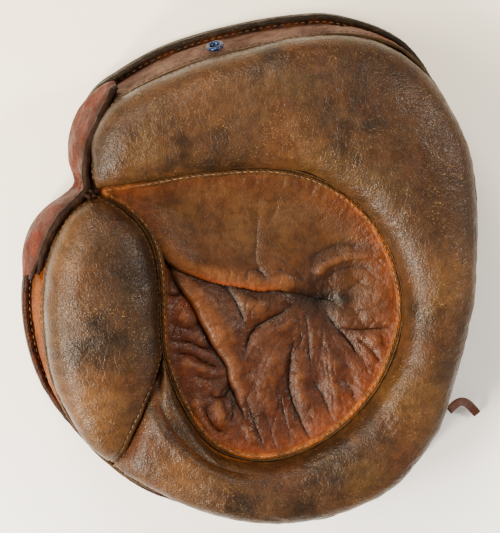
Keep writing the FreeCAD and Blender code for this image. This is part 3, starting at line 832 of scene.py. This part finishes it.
# Each: route, depth and half-width, both in millimetres.
CREASES = [
    (HOLE_LINE, 4.2, 3.2),
    ([(29, 0), (32, 9), (42, 15.5), (56, 16.5), (73, 14)], 1.6, 3.6),
    ([(29, -12.5), (15, -21.5), (6.5, -27), (-2, -33), (-6.5, -41), (-8.5, -50)], 3.8, 1.5),
    ([(-26.5, -1.5), (-15, -11), (-8, -22.5), (-5, -34.5)], 2.4, 1.6),
    ([(19.5, -24), (20.4, -41.5), (18.2, -54), (18.7, -63), (22.1, -76), (28.2, -90), (34.3, -97)], 3.0, 1.4),
    ([(28, -17), (29.1, -38), (31, -57)], 2.2, 1.5),
    ([(23, -19), (24.5, -33), (23.5, -46)], 1.3, 1.1),
    ([(36.5, -17), (44.7, -29.3), (53.4, -39.7), (58.6, -50.2)], 2.8, 1.2),
    ([(44.7, -29.3), (55, -31.9), (70, -30.4), (80, -29.3)], 1.8, 0.9),
    ([(47, -16), (54, -20), (64, -20), (74, -15)], 0.9, 1.0),
    ([(48, -11.5), (56, -7), (62, 0)], 0.8, 0.9),
    ([(38, -21), (38.5, -35), (36, -47)], 1.5, 3.8),
    ([(56, -36), (65, -43), (71.5, -53)], 1.3, 1.1),
    ([(47, -56), (54, -65), (59, -75)], 1.4, 1.2),
    ([(31, -57), (38, -72), (45, -84)], 1.6, 1.2),
    ([(12.5, -58), (14, -72), (18, -88), (20, -99)], 1.3, 1.2),
    ([(-5.7, -66), (-1, -84), (4.8, -100)], 2.0, 1.3),
    ([(2, -74), (8, -90), (12, -101)], 1.2, 1.1),
    ([(-51.5, -35), (-40, -37), (-30, -41), (-22, -41.5)], 2.0, 1.1),
    ([(-50, -42), (-38, -44.5), (-27, -51), (-17, -53)], 2.0, 1.1),
    ([(-38, -56), (-28.5, -59), (-17, -58.5)], 1.5, 1.2),
    ([(-54, -9), (-47, -11.5), (-41, -9)], 2.2, 1.6),
    ([(-53.5, -24), (-46, -27), (-38, -29.5), (-30, -31)], 1.2, 1.0),
    ([(-13, -60), (-17, -67.5), (-24.5, -68.5), (-29, -65.5)], 2.8, 1.6),
    ([(-30.5, -71), (-28.5, -80), (-22.5, -88), (-13, -90)], 2.4, 1.4),
    ([(-14, -66), (-13, -76), (-14.5, -86)], 1.8, 1.3),
    ([(0.4, 45), (0.6, 28), (-0.5, 11), (2.5, 3), (8, -2.5)], 1.1, 1.2),
    ([(-8.5, -1.2), (-3, 3), (3, 2), (9, -3.5)], 1.3, 1.0),
    ([(14, 49), (8.5, 33), (2.5, 22)], 0.5, 1.4),
    ([(-22.5, 22), (-11, 14), (0.5, 8)], 0.5, 1.6),
    ([(4, 12), (14, 9), (24, 1), (29, -7)], 0.8, 1.1),
    ([(10, 3), (18, 1), (26, -6)], 0.9, 0.9),
    ([(37, -4), (45, 1), (58, 4), (70, 3)], 0.8, 0.9),
]
RIDGES = [
    ([(31, -5), (36, 3), (45, 8), (58, 11), (75, 11.5)], 1.5, 2.4),
    ([(-42, 3), (-33, -9), (-24, -21), (-16, -33), (-11, -46)], 2.6, 6.5),
    ([(-16, -8), (-4, -16), (8, -18)], 1.6, 4.6),
    ([(7, -34), (9, -50), (5, -66), (8, -84)], 2.0, 7.5),
    ([(25, -50), (25.5, -64), (31, -80)], 1.2, 3.8),
    ([(47, -42), (43, -58), (44, -74)], 1.8, 6.0),
    ([(56, -24), (66, -16), (70, -4)], 1.6, 8.0),
    ([(62, -38), (72, -36)], 1.0, 4.0),
    ([(-46, -21), (-39, -23), (-31, -26)], 1.5, 4.4),
    ([(-45, -48), (-36, -51), (-27, -56)], 1.1, 3.2),
    ([(-24, -62), (-22, -74), (-19, -83)], 2.2, 3.0),
    ([(-38, -66), (-33, -80), (-24, -93)], 1.4, 3.4),
    ([(-8, -72), (-4, -88), (1, -98)], 1.2, 2.4),
]
KNOB = (-19.5, -82.5)


def taper(share, ends):
    return smoothstep(share, 0, ends) * (1 - smoothstep(share, 1 - ends, 1))


def blur(field, radius):
    """Box blur on a grid, twice."""
    for _ in range(2):
        for axis in (0, 1):
            padded = np.concatenate([np.repeat(field.take([0], axis), radius + 1, axis), field,
                                     np.repeat(field.take([-1], axis), radius, axis)], axis)
            total = np.cumsum(padded, axis)
            upper = total.take(range(2 * radius + 1, total.shape[axis]), axis)
            lower = total.take(range(0, total.shape[axis] - 2 * radius - 1), axis)
            field = (upper - lower) / (2 * radius + 1)
    return field


def boundary_field(x, y, outline):
    """Distance to a closed outline, positive inside it, and the nearest point on it."""
    best = np.full(x.shape, 1e9)
    near_x, near_y = np.zeros(x.shape), np.zeros(x.shape)
    inside = np.zeros(x.shape, bool)
    for a, b in zip(outline, np.roll(outline, -1, 0)):
        d = b - a
        f = np.clip(((x - a[0]) * d[0] + (y - a[1]) * d[1]) / (d @ d), 0, 1)
        qx, qy = a[0] + f * d[0], a[1] + f * d[1]
        dist = (x - qx) ** 2 + (y - qy) ** 2
        near = dist < best
        best = np.where(near, dist, best)
        near_x, near_y = np.where(near, qx, near_x), np.where(near, qy, near_y)
        crosses = (a[1] > y) != (b[1] > y)
        with np.errstate(divide="ignore", invalid="ignore"):
            at = a[0] + (y - a[1]) / (b[1] - a[1]) * (b[0] - a[0])
        inside ^= crosses & (x < at)
    return np.sqrt(best) * np.where(inside, 1, -1), near_x, near_y


def pocket_surface(step=0.55):
    """The pocket leather on a square grid: its heights, sideways shifts, and distances to its creases."""
    x, y = np.meshgrid(np.arange(-94, 87, step), np.arange(-108, 66, step), indexing="ij")
    edge, near_x, near_y = boundary_field(x, y, smooth_curve(POCKET_SEAM, 260))
    # Wander the creases a little, so that none runs dead straight.
    wx = x + 1.7 * fbm(x, y, 20, 2, 101) + 0.25 * fbm(x, y, 6, 2, 103)
    wy = y + 1.7 * fbm(x, y, 20, 2, 105) + 0.25 * fbm(x, y, 6, 2, 107)
    hole = np.hypot(x - HOLE[0], y - HOLE[1])
    z = 44.4 - 4.4 * smoothstep(edge, 0, 28) - 1.6 * bump_at(x, y, 0, -20, 32) - 2.0 * line_at(hole, 14)

    flap_d, flap_s, flap_side = route_field(wx, wy, FLAP_EDGE)
    above = flap_side > 0
    strength = smoothstep(flap_s, -0.05, 0.14) * (1 - 0.3 * smoothstep(flap_s, 0.85, 1))
    roll = 1.5 * line_at(flap_d, 10) - 1.8 * line_at(flap_d, 2.4)
    z += np.where(above, roll, -5.0 * np.exp(-(flap_d / 7.0) ** 1.2)) * strength
    shift_y = -2.6 * line_at(flap_d, 4.0) * above * strength

    deep_d, deep_s, deep_side = route_field(wx, wy, DEEP_CREASE)
    right = deep_side > 0
    deep = smoothstep(deep_s, 0, 0.12) * (1 - 0.35 * smoothstep(deep_s, 0.75, 1))
    z += np.where(right, 0.8 * line_at(deep_d, 5), 0) * deep
    z -= 7.0 * np.where(right, np.exp(-(deep_d / 1.0) ** 1.2), np.exp(-(deep_d / 4.6) ** 1.1)) * deep
    shift_x = -2.4 * line_at(deep_d, 3.5) * right * deep
    end_d, end_s, _ = route_field(wx, wy, DEEP_CREASE_END)
    end_fade = 1 - smoothstep(end_s, 0.4, 1)
    z -= 3.6 * np.exp(-(end_d / 1.6) ** 1.2) * end_fade

    for route, height, width in RIDGES:
        d, share, _ = route_field(wx, wy, route)
        z += height * line_at(d, width) * taper(share, 0.3)
    grime_and_shade = np.zeros(x.shape)
    for route, depth, width in CREASES:
        d, share, _ = route_field(wx, wy, route)
        # A crease is a sharp valley between soft rounded sides.
        sharp = np.exp(-np.sqrt(d * d + 0.09) / width)
        z -= depth * (0.72 * sharp + 0.28 * line_at(d, 3.2 * width)) * taper(share, 0.3)
        # Painted shade along each crease, darker where it is deep; it reads as grime too.
        line = line_at(d, 0.5 * width + 0.4) * taper(share, 0.25)
        grime_and_shade = np.maximum(grime_and_shade, line * min(depth / 3.0, 1.0))
    z += 1.7 * bump_at(wx, wy, *KNOB, 4.2)

    # Broad soft folds in the lower half, and fine wrinkles over all of it.
    angle = np.arctan2(wy - HOLE[1], wx - HOLE[0])
    lower = smoothstep(-y, 14, 34) * smoothstep(edge, 2, 14) * smoothstep(hole, 10, 26)
    z += 1.0 * perlin(angle * 4.5 + 0.5 * fbm(x, y, 30, 2, 111), hole / 60, 113) * lower
    z -= 0.40 * (1 - ridged(angle * 9.0, hole / 30, 1.0, 2, 117)) ** 2 * lower
    flap = smoothstep(y, -2, 8) * (1 - smoothstep(x, 25, 50) * smoothstep(-y, -22, -12))
    wrinkles = (1 - ridged(wx, wy * 0.8, 11, 3, 121)) ** 2
    z -= 0.55 * wrinkles * smoothstep(edge, 1, 8) * (1 - 0.75 * flap)
    z += 0.20 * fbm(x, y, 4.0, 3, 123) * (1 - 0.5 * flap)
    # At its seam the leather is held by the stitching.
    held = smoothstep(edge, 0.3, 7)
    z = POCKET_RIM * (1 - held) + z * held
    gather = perlin(np.arctan2(near_y + 22, near_x - 15) * 30, 0 * x + 0.4, 131)
    z -= 0.45 * gather * line_at(edge, 3.2, 7.5)
    # It can't sink into the felt under it.
    z = np.minimum(POCKET_FLOOR + softplus(z - POCKET_FLOOR, 1.2), 48.5)
    return SimpleNamespace(
        x=x, y=y, z=z, wx=wx, wy=wy, px=x + shift_x * held, py=y + shift_y * held, edge=edge, hole=hole,
        grime_and_shade=grime_and_shade, flap_d=flap_d, flap_s=flap_s, above=above, deep_d=deep_d, deep_s=deep_s, deep=deep,
        left=deep_side < 0, right=right, end_d=end_d, end_fade=end_fade)


def pocket_colours(s):
    """Its tint and wear: painted shade in the creases, under the flap and in the hole, tan on the ridges
    (rubbed wear with a painted highlight), a painted lit edge on the flap, orange where the seam rubs.
    """
    x, y = s.x, s.y
    cavity, wide = s.z - blur(s.z, 6), s.z - blur(s.z, 16)
    olive, shade_black = srgb(110, 84, 55), srgb(16, 9, 7)
    patchy = smoothstep(fbm(x, y, 22, 3, 143), -0.2, 0.4)
    rub = np.exp(-np.maximum(s.edge, 0) / 8)
    side_share = smoothstep(x, 20, 70) * 0.6 + smoothstep(-y, 60, 100) * 0.7 + bump_at(x, y, -82, 48, 22)
    lit_edge = (line_at(s.flap_d, 1.2, 0.9) * s.above * smoothstep(s.flap_s, 0.2, 0.35)
                * (1 - smoothstep(s.flap_s, 0.62, 0.78)))
    # Painted shadow under the flap's edge.
    under_flap_shadow = line_at(s.flap_d, 5.4) * ~s.above * smoothstep(s.flap_s, 0.1, 0.3)
    # Painted shadow along the deep crease: wide on its left side, narrow on its right.
    deep_crease_shadow = np.where(s.right, line_at(s.deep_d, 0.7), line_at(s.deep_d, 4.8)) * s.deep
    hole_d, hole_s, _ = route_field(s.wx, s.wy, HOLE_LINE)
    tint = layered(
        mottled((96, 62, 40), (74, 46, 32), x, y, 26, 141),
        (smoothstep(-y, 14, 50) * 0.55 + spots(x, y, (-42, -25, 22, 0.7)), srgb(94, 48, 31)),
        (smoothstep(y, -4, 22) * (0.45 + 0.5 * patchy), olive),
        (spots(x, y, (64, -8, 18, 0.5)), olive),
        # Lighter tan on the ridges: rubbed wear with a painted highlight.
        (smoothstep(cavity, 0.1, 0.9) * 0.28 + smoothstep(wide, 0.4, 2.2) * 0.16, srgb(176, 124, 80)),
        # Painted shade in the hollows.
        (smoothstep(-cavity, 0.1, 1.0) * 0.7 + smoothstep(-wide, 0.6, 3.0) * 0.55, srgb(32, 17, 12)),
        (rub * np.clip(0.3 + side_share, 0, 0.9), srgb(186, 98, 38)),
        (0.55 * lit_edge, srgb(180, 92, 46)),
        # An orange patch of the leather's own at (-41, -17), and a painted highlight at (-52, 6).
        (spots(x, y, (-41, -17, 6, 0.6), (-52, 6, 4, 0.5)), srgb(176, 92, 48)),
        # Painted shade in the creases.
        (s.grime_and_shade * 0.85, shade_black),
        # Painted shadow under the flap.
        (under_flap_shadow * 0.8, shade_black),
        # Painted shadow along the deep crease and its lower end.
        (np.maximum(deep_crease_shadow * 0.9, 0.8 * line_at(s.end_d, 1.0) * s.end_fade), shade_black),
        # Painted shade along the line into the hole, and broadly round the hole where the pocket sinks.
        (line_at(hole_d, 5.0) * smoothstep(hole_s, 0.15, 0.5) * 0.92, shade_black),
        (line_at(s.hole, 15) * 0.5, srgb(30, 16, 11)))
    return tint, np.clip(0.3 + 0.9 * smoothstep(cavity, 0, 0.9) + 0.7 * rub, 0, 1.3)


def pocket_piece(name, s, colours, keep, height):
    """The part of the pocket grid whose squares start where keep is true."""
    rows, columns = s.x.shape
    quads = grid_faces(rows, columns)
    quads = quads[keep.ravel()[quads[:, 0]] & (s.edge.ravel()[quads] > -0.8).all(axis=1)]
    used = np.unique(quads)
    number = np.full(rows * columns, -1)
    number[used] = np.arange(len(used))
    verts = np.stack([s.px.ravel(), s.py.ravel(), height.ravel()], 1)[used]
    tint, wear = colours
    obj = to_object(name, verts, number[quads], POCKET_LEATHER,
                    {"tint": tint.reshape(-1, 3)[used], "wear": wear.ravel()[used]})
    thicken(obj, 1.2, -1)
    return obj


def pocket():
    """The pocket leather, parted at its deep crease into the main sheet and the strip by the thumb."""
    s = pocket_surface()
    colours = pocket_colours(s)
    beyond = (s.x - FOLD_POINT[0]) * FOLD_ACROSS[0] + (s.y - FOLD_POINT[1]) * FOLD_ACROSS[1] > -1.0
    thumb_side = beyond & (s.y < 27)
    strip = thumb_side & s.left
    main = pocket_piece("pocket_sheet", s, colours, ~strip, s.z)
    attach(main, "palm")
    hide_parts("pocket_leather")
    # The strip's edge tucks in under the sheet, so that no gap opens between them.
    tuck = thumb_side & s.right & (s.deep_d < 3.2) & (s.deep_s < 0.6)
    height = np.where(s.left, s.z, np.minimum(s.z, 35.5) - 1.6 * s.deep_d)
    side = pocket_piece("pocket_thumb_strip", s, colours, strip | tuck, height)
    blend_dart("pocket_leather", side)


# ---------------------------------------------------------------- seams, welts, sides

def inward(path):
    """Unit vectors in plan, to the inside of a closed clockwise path."""
    ahead = unit(np.gradient(path[:, :2], axis=0))
    return np.stack([ahead[:, 1], -ahead[:, 0]], 1)


def inside_path(path, distance, height):
    """A path at one height, a set distance inside a plan path."""
    return np.concatenate([path + inward(path) * distance, np.full((len(path), 1), height)], 1)


def strip_from_profile(path, profile):
    """A strip along a plan path; profile lists (distance inwards, height) across it."""
    points = np.empty((len(path), len(profile), 3))
    points[..., :2] = path[:, None] + inward(path)[:, None] * profile[None, :, :1]
    points[..., 2] = profile[None, :, 1]
    return points


BAND_STEP = 0.8
BAND_PITCH = 3.6


def seam_band():
    """The narrow strip round the pocket, its dark piping and its row of stitches."""
    flat = [(-1.8, 47.4), (-0.9, 46.0), (-0.2, 45.0), (0.5, 45.2), (1.3, 46.0), (2.4, 46.3), (3.4, 46.1),
            (4.3, 45.4), (4.8, 44.3), (4.9, 43.2)]
    for name, first, last, shape in (("palm", 0.15, POCKET_DART, flat),
                                     ("thumb", POCKET_DART, 18.75, flat + [(4.0, 39), (3.0, 33)])):
        profile = smooth_curve(shape, 37, closed=False)
        path = even(smooth_curve(POCKET_SEAM, 700, True, first, last), BAND_STEP)
        points = strip_from_profile(path, profile)
        along = np.arange(len(path))[:, None] * BAND_STEP + 0 * points[..., 0]
        q, h = profile[:, 0] + 0 * along, profile[:, 1] + 0 * along
        points[..., 2] += 0.45 * fbm(along, q * 2, 9, 3, 201) * smoothstep(q, 0, 2)
        # The leather sinks a little under each stitch.
        sunk = 0.5 + 0.5 * np.cos(along / BAND_PITCH * 2 * math.pi)
        points[..., 2] -= 0.4 * sunk * line_at(q, 0.8, 2.7)
        x, y = points[..., 0], points[..., 1]
        orange = smoothstep(x, 20, 75) * 0.55 + smoothstep(-y, 55, 95) * 0.65 + bump_at(x, y, -84, 50, 16)
        orange += 0.30 * smoothstep(-x, 40, 56) * smoothstep(-y, -30, 30)
        orange = orange * (0.4 + 0.9 * smoothstep(fbm(along, q * 3, 12, 3, 203), -0.3, 0.3))
        tint = layered(srgb(104, 80, 48), (np.clip(orange, 0, 0.95), srgb(214, 128, 56)),
                       (line_at(q, 0.8, 0.1) * 0.9, srgb(26, 20, 13)),
                       # Painted shade where the band turns down against the pocket sheet.
                       (smoothstep(h, 44.6, 43.6) * (q > 3) * 0.8, srgb(26, 17, 11)))
        band = grid_object("pocket_band_" + name, points, EDGE_LEATHER, tint=tint, wear=0.5 + 0.5 * orange)
        row = stitches("pocket_stitches_" + name, inside_path(path, 2.7, 46.15), BAND_PITCH, 2.7, 0.32,
                       ORANGE_THREAD)
        bead = tube("pocket_piping_" + name, inside_path(path, 0.3, 45.4), 0.75, WELT_LEATHER, 10, 0.3, 207)
        fasten(name, "welt_leather", band, row, bead)
        if name == "palm":
            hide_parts("pocket_welt")


# Half of the rolled edge's section, from under the back panel round to its top: inwards, height.
ROLL_PROFILE = [
    (6.0, 9.2), (6.1, 4.8), (5.8, 0.7), (5.0, 0.0), (1.4, 0.0), (0.5, 0.9), (0.2, 3.5), (0.5, 6.5),
    (0.1, 8.6), (0.5, 10.6), (1.9, 11.7), (3.4, 11.3), (4.3, 10.2), (5.2, 9.6), (6.6, 9.4), (8.2, 8.6),
]
WALL_ROWS = 44
STITCH_ROW = 36


def side_wall(name, back, face):
    """The gusset between the back edge and the face edge, and its row of stitches."""
    toward = inward(back)
    w = np.linspace(0, 1, WALL_ROWS)
    foot, head = back + toward * FLANGE, face + inward(face) * 0.8
    points = np.empty((len(back), WALL_ROWS, 3))
    points[..., :2] = foot[:, None] + (head - foot)[:, None] * w[None, :, None]
    points[..., 2] = GUSSET_FOOT + (SEAM_LEVEL - 1 - GUSSET_FOOT) * w[None]
    along = distances(face)[:, None] + 0 * w[None]
    across = 36 * w[None] + 0 * along
    belly = np.sin(math.pi * w)[None] ** 0.8
    swell = 2.6 * belly * (0.75 + 0.9 * fbm(along, across * 0.3, 60, 2, 301))
    swell += 0.9 * fbm(along, across, 14, 3, 303) * belly
    fold = ridged(along, across * 0.35, 10, 3, 305)
    swell -= 1.3 * (1 - fold) ** 2 * belly * smoothstep(fbm(along, across, 40, 2, 309), -0.1, 0.3)
    points[..., :2] -= toward[:, None] * swell[..., None]
    x, y = points[..., 0], points[..., 1]
    drab = mottled((104, 82, 52), (72, 52, 38), along, across, 22, 313)
    if name == "palm":
        # Grey-mauve along the top: the leather's tone with a painted sheen.
        mauve_and_sheen = mottled((170, 148, 150), (128, 104, 104), along, across, 20, 311)
        tint = mix(drab, mauve_and_sheen, smoothstep(y, 85, 110) * (1 - smoothstep(x, 60, 95)))
    else:
        tan = mottled((178, 110, 36), (148, 84, 26), along, across, 18, 315)
        tint = mix(drab, tan, smoothstep(y, -105, -80))
    # Painted shade at the wall's foot, in the gap by the rolled edge, and at its head under the welt bead.
    ends = (1 - smoothstep(w, 0, 0.10))[None] * 0.75 + smoothstep(w, 0.93, 1)[None] * 0.7
    tint = layered(tint, (spots(x, y, (76, 131, 9, 0.8)), srgb(190, 100, 42)), (ends, srgb(28, 20, 16)))
    wear = 0.4 + 0.5 * smoothstep(fbm(along, across, 25, 2, 319), -0.2, 0.3)
    wall = grid_object("side_wall_" + name, points, GUSSET_LEATHER, tint=tint, wear=wear)
    row = points[:, STITCH_ROW].copy()
    row[:, :2] -= toward * 0.2
    facing = np.concatenate([-toward, np.full((len(back), 1), 0.2)], 1)
    return wall, stitches("side_stitches_" + name, row, 3.6, 2.5, 0.28, normals=facing)


def face_welt(name, face):
    path = even(inside_path(face, 0.5, SEAM_LEVEL - 0.4), 0.9)
    path[:, 2] += 0.35 * fbm(np.arange(len(path)) * 0.9, 0 * path[:, 0], 12, 3, 331)
    return tube("face_welt_bead_" + name, path, 1.3, WELT_LEATHER, 14, 0.25, 333)


def rolled_edge(name, back):
    """The edge leather rolled round the back panel, and its row of stitches."""
    profile = smooth_curve(ROLL_PROFILE, 77, closed=False)
    points = strip_from_profile(back, profile)
    along = distances(back)[:, None] + 0 * points[..., 0]
    q, h = profile[:, 0] + 0 * along, profile[:, 1] + 0 * along
    ripple = 0.7 * fbm(along, h, 16, 3, 341) * smoothstep(h, 2, 9)
    points[..., :2] += inward(back)[:, None] * np.abs(ripple)[..., None]
    points[..., 2] += 0.7 * fbm(along, q, 22, 3, 343) * smoothstep(h, 6, 11)
    top = np.arange(77)[None] > 30
    patchy = smoothstep(fbm(along, q, 10, 3, 347), -0.2, 0.3)
    rust = srgb(128, 70, 36)
    tint = layered(
        mottled((84, 42, 30), (52, 30, 24), along, h, 12, 346),
        (smoothstep(points[..., 1], 60, 100), mottled((54, 50, 44), (36, 32, 30), along, h, 12, 345)),
        (top * smoothstep(q, 2.4, 4.2) * (0.2 + 0.65 * patchy), rust),
        (line_at(h, 0.8, 8.6) * (q < 1) * top * 0.35, rust),
        # Painted shade in the gap where the roll meets the side wall.
        (top * smoothstep(q, 6.6, 8) * 0.8, srgb(24, 18, 15)))
    rolled = grid_object("rolled_edge_" + name, points, EDGE_LEATHER, tint=tint,
                         wear=0.3 + 0.5 * smoothstep(h, 9, 11.5))
    return rolled, stitches("back_stitches_" + name, inside_path(back, 4.6, 10.35), 4.0, 2.4, 0.26)


def side_pieces():
    """Side wall, welt and rolled back edge, on the palm section and on the thumb section."""
    for name, first, last, count, slot, nodes in (
            ("palm", 0.0, BACK_DART, 900, "gusset_leather", ("rim_gusset", "face_welt", "back_binding")),
            ("thumb", BACK_DART, 22.0, 300, "thumb_gusset_leather",
             ("thumb_gusset", "thumb_welt", "thumb_binding"))):
        back, face = (smooth_curve(line, count, True, first, last) for line in (BACK_OUTLINE, FACE_OUTLINE))
        wall, seam = side_wall(name, back, face)
        welt = face_welt(name, face)
        rolled, edge_seam = rolled_edge(name, back)
        fasten(name, slot, wall)
        fasten(name, "welt_leather", seam, welt)
        fasten(name, "binding_leather", rolled, edge_seam)
        for piece, replaced in zip((wall, welt, rolled), nodes):
            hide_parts(replaced)


# ---------------------------------------------------------------- web strap

WEB_TOP = [(-79, 106.5, 34), (-80.5, 105, 42), (-84, 98.5, 47.5), (-89.5, 88, 50), (-94.5, 75, 50.5),
           (-96.4, 62, 50), (-95.6, 51.5, 48.5), (-101, 44.5, 47.5), (-108.5, 37.5, 48), (-115, 27, 46.5),
           (-119.8, 15, 43), (-122, 2, 34)]
WEB_FOOT = [(-79.5, 106, 28), (-82, 106, 20), (-88, 101.5, 13), (-97, 91, 10), (-102, 77, 9),
            (-102.5, 63, 10), (-99.8, 50.5, 13), (-107, 42, 12), (-117.5, 34, 10), (-125, 24, 10),
            (-128.8, 11, 11), (-129, -2, 16)]
WEB_SLIT = [(-120.5, 14, 42.5), (-123.2, 8.5, 39), (-125.2, 2.5, 34), (-126.2, -1.5, 29)]
# The loops of lace at the waist of the strap: middle of each, and its radius.
WEB_LACE = [(-93.5, 50.0, 49.5, 1.5), (-92.0, 47.6, 50.2, 1.3), (-95.0, 47.2, 51.5, 1.2),
            (-90.6, 49.6, 48.2, 1.2)]


def web_strap():
    """The strap over the notch, in two lobes with a laced waist between them."""
    top = smooth_curve(WEB_TOP, 260, closed=False)
    foot = smooth_curve(WEB_FOOT, 260, closed=False)
    w = np.linspace(0, 1, 40)
    points = foot[:, None] + (top - foot)[:, None] * w[None, :, None]
    out = inward(foot)
    middle = foot[:, :2].mean(axis=0) + np.array([30.0, 0.0])
    out *= np.sign(np.sum(out * (foot[:, :2] - middle), axis=1))[:, None]
    u = np.linspace(0, 1, len(foot))[:, None] + 0 * w
    w = w + 0 * u
    along = u * 165
    belly = np.sin(math.pi * w) ** 0.7
    waist = line_at(u, 0.07, 0.53)
    swell = 2.0 * belly * (1 - waist) + 1.1 * fbm(along, w * 30, 18, 3, 401) * belly
    swell -= 1.6 * waist * belly * ridged(along, w * 30, 7, 2, 403)
    points[..., :2] += out[:, None] * swell[..., None]
    rubbed = smoothstep(fbm(along, w * 20, 6, 3, 407), -0.2, 0.3)
    tint = layered(mottled((140, 66, 46), (108, 52, 38), along, w * 36, 16, 405),
                   (smoothstep(w, 0.72, 0.95) * 0.85, srgb(58, 34, 26)),
                   ((1 - smoothstep(w, 0, 0.12)) * 0.7, srgb(46, 28, 22)),
                   ((1 - smoothstep(u, 0.0, 0.06)) * 0.8, srgb(40, 36, 40)),
                   (waist * 0.5 * rubbed, srgb(150, 70, 44)))
    strap = grid_object("web_strap", points, WEB_LEATHER, tint=tint, wear=0.5 + 0.5 * waist)
    thicken(strap, 2.0)
    bead_path = even(top, 0.8)
    share = np.linspace(0, 1, len(bead_path))
    size = 0.9 + 1.5 * smoothstep(share, 0, 0.03) * (1 - smoothstep(share, 0.93, 1))
    bead = tube("web_rolled_edge", bead_path, size, DARK_ROLL, 14, 0.3, 411)
    slit_path = even(smooth_curve(WEB_SLIT, 30, closed=False), 0.7)
    slit = tube("web_slit_lip", slit_path, 1.3, DARK_ROLL, 10, 0.3, 413)
    for piece in (strap, bead, slit):
        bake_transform(piece)
    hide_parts("web_strap_upper", "web_strap_lower")
    for number, (x, y, z, r) in enumerate(WEB_LACE):
        bend = [(x - 2.2, y + 1.2, z - 1.2), (x, y, z + 0.9), (x + 1.8, y - 1.6, z - 0.6)]
        loop = tube("web_lace_%d" % number, even(smooth_curve(bend, 20, closed=False), 0.5), r * 0.8,
                    DARK_ROLL, 10, 0.35, 420 + number, flatten=0.6)
        ride_all("palm", "web_leather", loop)


# ---------------------------------------------------------------- lining, eyelet and unseen CAD pieces

def thumb_lining():
    """The cloth under the thumb pad, riding the thumb body, which stops short of the pocket."""
    rows = smooth_curve([(*inner, *outer) for inner, outer, _, _ in THUMB_SECTIONS[1:-1]], 80, closed=False)
    share = np.linspace(0.12, 0.93, 24)
    plan = rows[:, None, 2:4] + (rows[:, None, 0:2] - rows[:, None, 2:4]) * share[None, :, None]
    beyond = (plan - FOLD_POINT) @ FOLD_ACROSS
    plan = plan + FOLD_ACROSS * np.maximum(5.0 - beyond, 0)[..., None]
    height = 28.6 + 0.35 * fbm(plan[..., 0], plan[..., 1], 9, 3, 501)
    cloth = grid_object("thumb_lining", np.concatenate([plan, height[..., None]], 2), LINING)
    thicken(cloth, 1.2)
    ride_all("thumb", "lining", cloth)
    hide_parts("thumb_liner")


def eyelet():
    centre = np.array([-23.0, 129.0, 36.0])
    normal = unit(np.array([-0.25, 0.9, 0.36]))
    side = unit(np.cross(normal, UP))
    up = np.cross(side, normal)
    # Radius from the middle and height over the wall, from the hole outwards.
    profile = [(0.3, -1.2), (2.1, -1.1), (2.6, 0.0), (3.2, 0.9), (4.1, 1.1), (4.8, 0.6), (5.0, -0.2),
               (4.6, -0.9)]
    radii = smooth_curve(profile, 36, closed=False)
    angle = np.linspace(0, 2 * math.pi, 48, endpoint=False)[:, None, None]
    points = (centre + (np.cos(angle) * side + np.sin(angle) * up) * radii[None, :, :1]
              + normal * radii[None, :, 1:])
    obj = grid_object("eyelet_ring", points, EYELET_METAL, wrap_rows=True)
    ride_all("palm", "eyelet_metal", obj)
    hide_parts("gusset_eyelet")


def cad_materials():
    wanted = {
        BACK_LEATHER: ["back_panel", "thumb_back_panel", "wrist_strap", "buckle_chape", "strap_keeper"],
        LINING: ["palm_liner", "index_stall", "middle_stall", "ring_stall", "little_stall",
                 "thumb_stall", "pocket_felt"],
        STEEL: ["buckle_frame", "buckle_prong", "strap_rivets"],
    }
    for material, names in wanted.items():
        for name in names:
            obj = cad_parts[name]
            obj.data.materials.clear()
            obj.data.materials.append(material)


camera()
lace()
floor()
lights()
rim_pad()
thumb_pad()
pocket()
seam_band()
side_pieces()
web_strap()
thumb_lining()
eyelet()
cad_materials()
